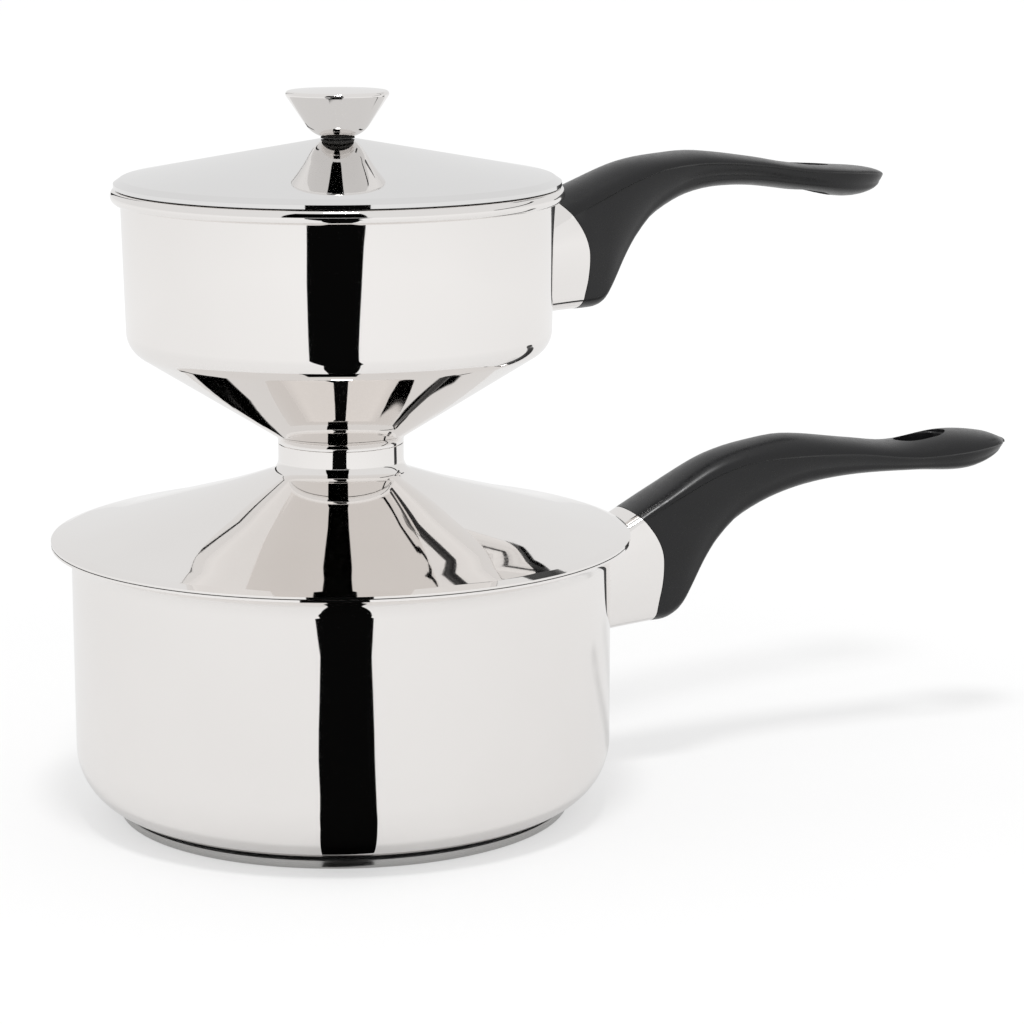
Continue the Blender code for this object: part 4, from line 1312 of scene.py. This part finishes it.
    def ferrule(self, wall: Piece, place: Matrix) -> Piece:
        """Return the ferrule: the blank's root end, hollowed and cut to a pan's wall.

        Args:
            wall: Everything inside the pan's outer side, where it stands.
            place: Where the grip is mounted.

        Returns:
            The ferrule in its place.
        """
        ferrule = self.blank("ferrule", 0.0, self.spigot_reach)
        root = self.prism("ferrule_root", self.root_side(0.0))
        Bench.cut(ferrule, root, "INTERSECT")
        core = self.blank("ferrule_core", self.ferrule_sheet, self.core_reach)
        Bench.take(core)
        bpy.ops.object.mode_set(mode="EDIT")
        Bench.pick(core, lambda vert: vert.co.x < self.back + TOUCHING)
        bpy.ops.transform.translate(value=(2 * self.back, 0.0, 0.0))
        bpy.ops.object.mode_set(mode="OBJECT")
        Bench.cut(ferrule, core)
        Bench.drop(root, core)
        Bench.put(ferrule, place)
        Bench.cut(ferrule, wall)
        return Bench.tidy(ferrule, GRIP_CREASE)

    def screw(self) -> Piece:
        """Return the screw that goes up through the heel into the bracket's tongue."""
        gap = TOUCHING
        shank_top = -self.tongue_drop + self.tongue_height / 2 - gap
        screw = self.bolt.turn(Lathe(steps=48), "grip_screw", -self.screw_seat - gap, shank_top)
        return Bench.put(screw, Matrix.Translation((self.screw_reach, 0.0, 0.0)))


@dataclass
class Grips:
    """Both grips: the saucepan's, and the steaming pan's, which is slimmer and turned a little."""

    finishes: Finishes
    saucepan: Saucepan
    pan: SteamingPan
    pan_height: float = 0.097
    below_rim: float = 0.0177
    azimuth: float = radians(12.5)
    wall_above: float = 0.02
    pan_lines: GripLines = GripLines(
        crown_heights=(-4.0, -1.2, 2.2, 6.6, 13.1, 25.4, 30.6, 30.8, 27.1, 24.8, 27.3, 25.5, 22.2),
        ridge_heights=(-10.2, -7.6, -0.8, 5.8, 10.8, 18.7, 22.6, 23.5, 22.4, 19.4, 20.1, 21.4, 21.0),
        belly_heights=(-41.5, -39.8, -38.4, -38.1, -36.1, -33.3, -28.4, -17.3, -8.9, -0.3, 8.1, 12.2, 12.6,
                       11.6, 14.7, 19.7))
    steamer_lines: GripLines = GripLines(
        crown_heights=(2.0, 4.7, 7.7, 11.0, 15.0, 22.0, 24.1, 23.9, 20.3, 16.9, 14.4, 12.6, 9.7),
        ridge_heights=(-7.6, -5.2, 0.4, 5.2, 8.9, 15.2, 18.8, 19.8, 17.6, 13.7, 12.2, 10.4, 8.5),
        belly_heights=(-34.5, -34.0, -33.7, -33.8, -33.5, -32.1, -28.1, -17.7, -9.2, -0.2, 7.8, 9.1, 4.9,
                       1.3, 2.4, 6.2))

    def wall(self, name: str, outline: Sequence[Vector]) -> Piece:
        """Return everything inside a pan's outer side, grown by the gap."""
        grown = Outline.offset(outline, -TOUCHING)
        top = grown[-1].y + self.wall_above
        profile = [Vector((0.0, top)), Vector((grown[-1].x, top)), *grown[::-1], Vector((0.0, grown[0].y))]
        return Lathe().turn(name, profile, closed=False)

    def places(self) -> tuple[Matrix, Matrix]:
        """Return where the saucepan's grip and the steaming pan's grip are mounted."""
        first = Matrix.Translation((self.saucepan.wall_radius, 0.0, self.pan_height))
        height = self.pan.bead_height - self.below_rim
        second = Matrix.Rotation(self.azimuth, 4, "Z") @ Matrix.Translation(
            (self.pan.bowl_radius, 0.0, height))
        return first, second

    def build(self) -> None:
        """Make both grips with their ferrules and screws."""
        grips = (Grip(self.pan_lines), Grip(self.steamer_lines))
        screw = grips[0].screw()
        outlines = (self.saucepan.outline(), self.pan.bowl_outline())
        bodies = (Body.SAUCEPAN, Body.STEAMER)
        for body, grip, outline, place in zip(bodies, grips, outlines, self.places()):
            name = body.value
            wall = self.wall(name + "_outside", outline)
            ferrule = grip.ferrule(wall, place)
            ferrule.name = ferrule.data.name = name + "_grip_ferrule"
            Bench.drop(wall)
            dress(ferrule, self.finishes.mirror)
            hang(ferrule, body, Slot.POLISHED, name + "_ferrule")
            moulding = Bench.put(grip.moulding(), place)
            moulding.name = moulding.data.name = name + "_grip"
            dress(moulding, self.finishes.moulding)
            hang(moulding, body, Slot.MOULDING, name + "_handle")
            bolt = Bench.put(Bench.copy(screw, name + "_grip_screw"), place)
            centre = place @ Vector((grip.screw_reach, 0.0, 0.0))
            dress(bolt, brushed_steel(name + "_screw_steel", *BRUSHED_COLOURS, (centre.x, centre.y)))
            hang(bolt, body, Slot.SATIN, name + "_handle_screw")
        Bench.drop(screw)


# Studio


@dataclass(frozen=True)
class Strip:
    """A dark strip far behind the steamer, seen from it: bearings from straight behind, and rises."""

    start: tuple[float, float]
    slope: float
    bend: float
    length: float
    half_width: float


@dataclass
class Studio:
    """White floor and world, one soft lamp, and the dark things that the polished steel sees."""

    camera_place: tuple[float, float, float] = (-0.4324, -1.1269, 0.3582)
    camera_turn: tuple[float, float, float] = (radians(78.45), 0.0, radians(-24.0))
    lens: float = 116.3
    sensor_width: float = 36.0
    lamp_towards: tuple[float, float, float] = (-0.10, -0.30, 1.0)
    lamp_power: float = 16.0
    lamp_size: float = 0.40
    lamp_distance: float = 2.2
    ground_size: float = 16.0
    ground_drop: float = 0.0002
    ground_diffuse: float = 0.42
    ground_seen: float = 0.515
    ground_seen_far: float = 0.625
    ground_mirrored: float = 0.37
    ground_mirrored_far: float = 0.46
    ground_rise: float = 0.80
    ground_seen_width: float = 0.96
    flag_height: float = 0.0006
    flag_colour: Colour = (0.002, 0.002, 0.002)
    diffuse_level: float = 0.90
    mirrored_level: float = 0.80
    dark_half_width: float = radians(21.0)
    dark_azimuth: float = radians(-4.0)
    dark_top: float = radians(52.0)
    side_softness: float = radians(0.8)
    top_softness: float = radians(2.0)
    strip_softness: float = radians(0.5)
    end_softness: float = radians(1.0)
    strips: tuple[Strip, ...] = (
        Strip((radians(-42.0), radians(29.3)), -1.434, 0.344, radians(26.9), radians(2.7)),
        Strip((radians(54.2), radians(21.8)), -0.851, 0.401, radians(39.2), radians(2.0)),
        Strip((radians(28.4), radians(24.0)), 0.970, -0.917, radians(22.5), radians(2.2)))

    def camera(self) -> None:
        """Stand the camera where the photograph was taken from."""
        Bench.clear()
        bpy.ops.object.camera_add(location=self.camera_place, rotation=self.camera_turn)
        camera = bpy.context.object
        camera.name = "camera"
        camera.data.sensor_width = self.sensor_width
        camera.data.lens = self.lens
        bpy.context.scene.camera = camera

    def lamp(self) -> None:
        """Hang one soft lamp over the steamer, a little towards the camera."""
        Bench.clear()
        towards = Vector(self.lamp_towards).normalized()
        bpy.ops.object.light_add(type="AREA", location=towards * self.lamp_distance)
        lamp = bpy.context.object
        lamp.name = "soft_lamp"
        lamp.rotation_euler = towards.to_track_quat("Z", "Y").to_euler()
        lamp.data.shape = "DISK"
        lamp.data.size = self.lamp_size
        lamp.data.energy = self.lamp_power

    def ground(self) -> None:
        """Lay the white floor, which keeps the shadow that falls on it."""
        Bench.clear()
        bpy.ops.mesh.primitive_plane_add(size=self.ground_size, location=(0.0, 0.0, -self.ground_drop))
        ground = bpy.context.object
        ground.name = "ground"
        material = bpy.data.materials.new("white_ground")
        material.use_nodes = True
        wiring = Wiring(material.node_tree)
        wiring.tree.nodes.clear()
        matt = wiring.put("ShaderNodeBsdfDiffuse", (self.ground_diffuse,) * 3 + (1.0,))
        reach = wiring.length(wiring.node("ShaderNodeTexCoord").outputs["Object"])
        mirrored = wiring.step(reach, self.ground_rise, self.ground_rise,
                               self.ground_mirrored, self.ground_mirrored_far)
        seen = wiring.step(reach, self.ground_rise, self.ground_seen_width,
                           self.ground_seen, self.ground_seen_far)
        path = wiring.node("ShaderNodeLightPath").outputs
        level = wiring.math("ADD", wiring.math("MULTIPLY", path["Is Glossy Ray"], mirrored),
                            wiring.math("MULTIPLY", path["Is Camera Ray"], seen))
        glow = wiring.put("ShaderNodeEmission", (1.0, 1.0, 1.0, 1.0), level)
        out = wiring.node("ShaderNodeOutputMaterial")
        wiring.feed(out.inputs["Surface"], wiring.put("ShaderNodeAddShader", matt, glow))
        ground.data.materials.append(material)

    def flag(self) -> None:
        """Lay a black flag before the steamer, which only the polished steel sees."""
        left = metres((-4, -6, -15, -22, -26, -30, -34, -110, -196, -224, -266, -302, -337, -720),
                      (-84.5, -113, -192, -236, -271, -321, -376, -600, -867, -965, -1122, -1300, -1459,
                       -3000))
        right = metres((15, 21, 42, 53, 62, 74, 86, 118, 150, 191, 224, 284, 359, 432, 1050),
                       (-84.5, -109, -187, -230, -264, -313, -367, -450, -650, -866, -962, -1115, -1297,
                        -1440, -2900))
        turn = Matrix.Rotation(self.camera_turn[2], 3, "Z")
        flag = Bench.fill("black_flag",
                          [turn @ Vector((x, y, self.flag_height)) for x, y in left + right[::-1]])
        bpy.ops.object.mode_set(mode="OBJECT")
        material = bpy.data.materials.new("black_cloth")
        material.use_nodes = True
        shader = material.node_tree.nodes["Principled BSDF"]
        shader.inputs["Base Color"].default_value = (*self.flag_colour, 1.0)
        shader.inputs["Roughness"].default_value = 1.0
        shader.inputs["Specular IOR Level"].default_value = 0.0
        flag.data.materials.append(material)
        flag.visible_camera = False
        flag.visible_diffuse = False
        flag.visible_shadow = False
        flag.visible_transmission = False

    def world(self) -> None:
        """Make the white surroundings, with the dark side that polished steel sees behind the camera."""
        world = bpy.data.worlds.new("white_studio")
        bpy.context.scene.world = world
        world.use_nodes = True
        wiring = Wiring(world.node_tree)
        math, step = wiring.math, wiring.step
        background = wiring.tree.nodes["Background"]
        background.inputs["Color"].default_value = (1.0, 1.0, 1.0, 1.0)

        turn = wiring.node("ShaderNodeVectorRotate", rotation_type="Z_AXIS")
        wiring.feed(turn.inputs["Angle"], -self.camera_turn[2])
        wiring.feed(turn.inputs["Vector"], wiring.node("ShaderNodeTexCoord").outputs["Generated"])
        across, away, up = wiring.split(turn.outputs["Vector"])
        rise = math("ARCSINE", up)

        azimuth = math("ARCTAN2", across, math("MULTIPLY", away, -1.0))
        from_middle = math("ABSOLUTE", math("SUBTRACT", azimuth, self.dark_azimuth))
        outside = math("MAXIMUM", step(from_middle, self.dark_half_width, self.side_softness),
                       step(rise, self.dark_top, self.top_softness))
        mirrored = math("MULTIPLY", outside, self.mirrored_level)
        bearing = math("ARCTAN2", across, away)
        for strip in self.strips:
            along = math("SUBTRACT", bearing, strip.start[0])
            bent = math("ADD", strip.slope, math("MULTIPLY", along, strip.bend))
            line = math("ADD", strip.start[1], math("MULTIPLY", along, bent))
            off_line = math("ABSOLUTE", math("SUBTRACT", rise, line))
            off_middle = math("ABSOLUTE", math("SUBTRACT", along, strip.length / 2))
            beyond = math("MAXIMUM", step(off_line, strip.half_width, self.strip_softness),
                          step(off_middle, strip.length / 2, self.end_softness))
            mirrored = math("MULTIPLY", mirrored, beyond)

        path = wiring.node("ShaderNodeLightPath").outputs
        gloss, camera = path["Is Glossy Ray"], path["Is Camera Ray"]
        other = math("SUBTRACT", 1.0, math("MAXIMUM", gloss, camera))
        lit = math("ADD", math("MULTIPLY", mirrored, gloss), math("MULTIPLY", other, self.diffuse_level))
        wiring.feed(background.inputs["Strength"], math("ADD", lit, camera))

    def build(self) -> None:
        """Set up the camera, light and ground."""
        bpy.context.scene.view_settings.view_transform = "Standard"
        self.camera()
        self.lamp()
        self.ground()
        self.flag()
        self.world()


def main() -> None:
    """Build the sub-assemblies in order, then the studio."""
    logging.basicConfig(level=logging.INFO, format="%(name)s: %(message)s")
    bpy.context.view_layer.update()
    finishes = Finishes()
    lathe = Lathe()
    saucepan = Saucepan(finishes, lathe)
    saucepan.build()
    pan = SteamingPan(finishes, lathe, saucepan)
    pan.build()
    Lid(finishes, lathe, pan).build()
    Grips(finishes, saucepan, pan).build()
    Studio().build()
    Bench.clear()


if __name__ == "__main__":
    main()
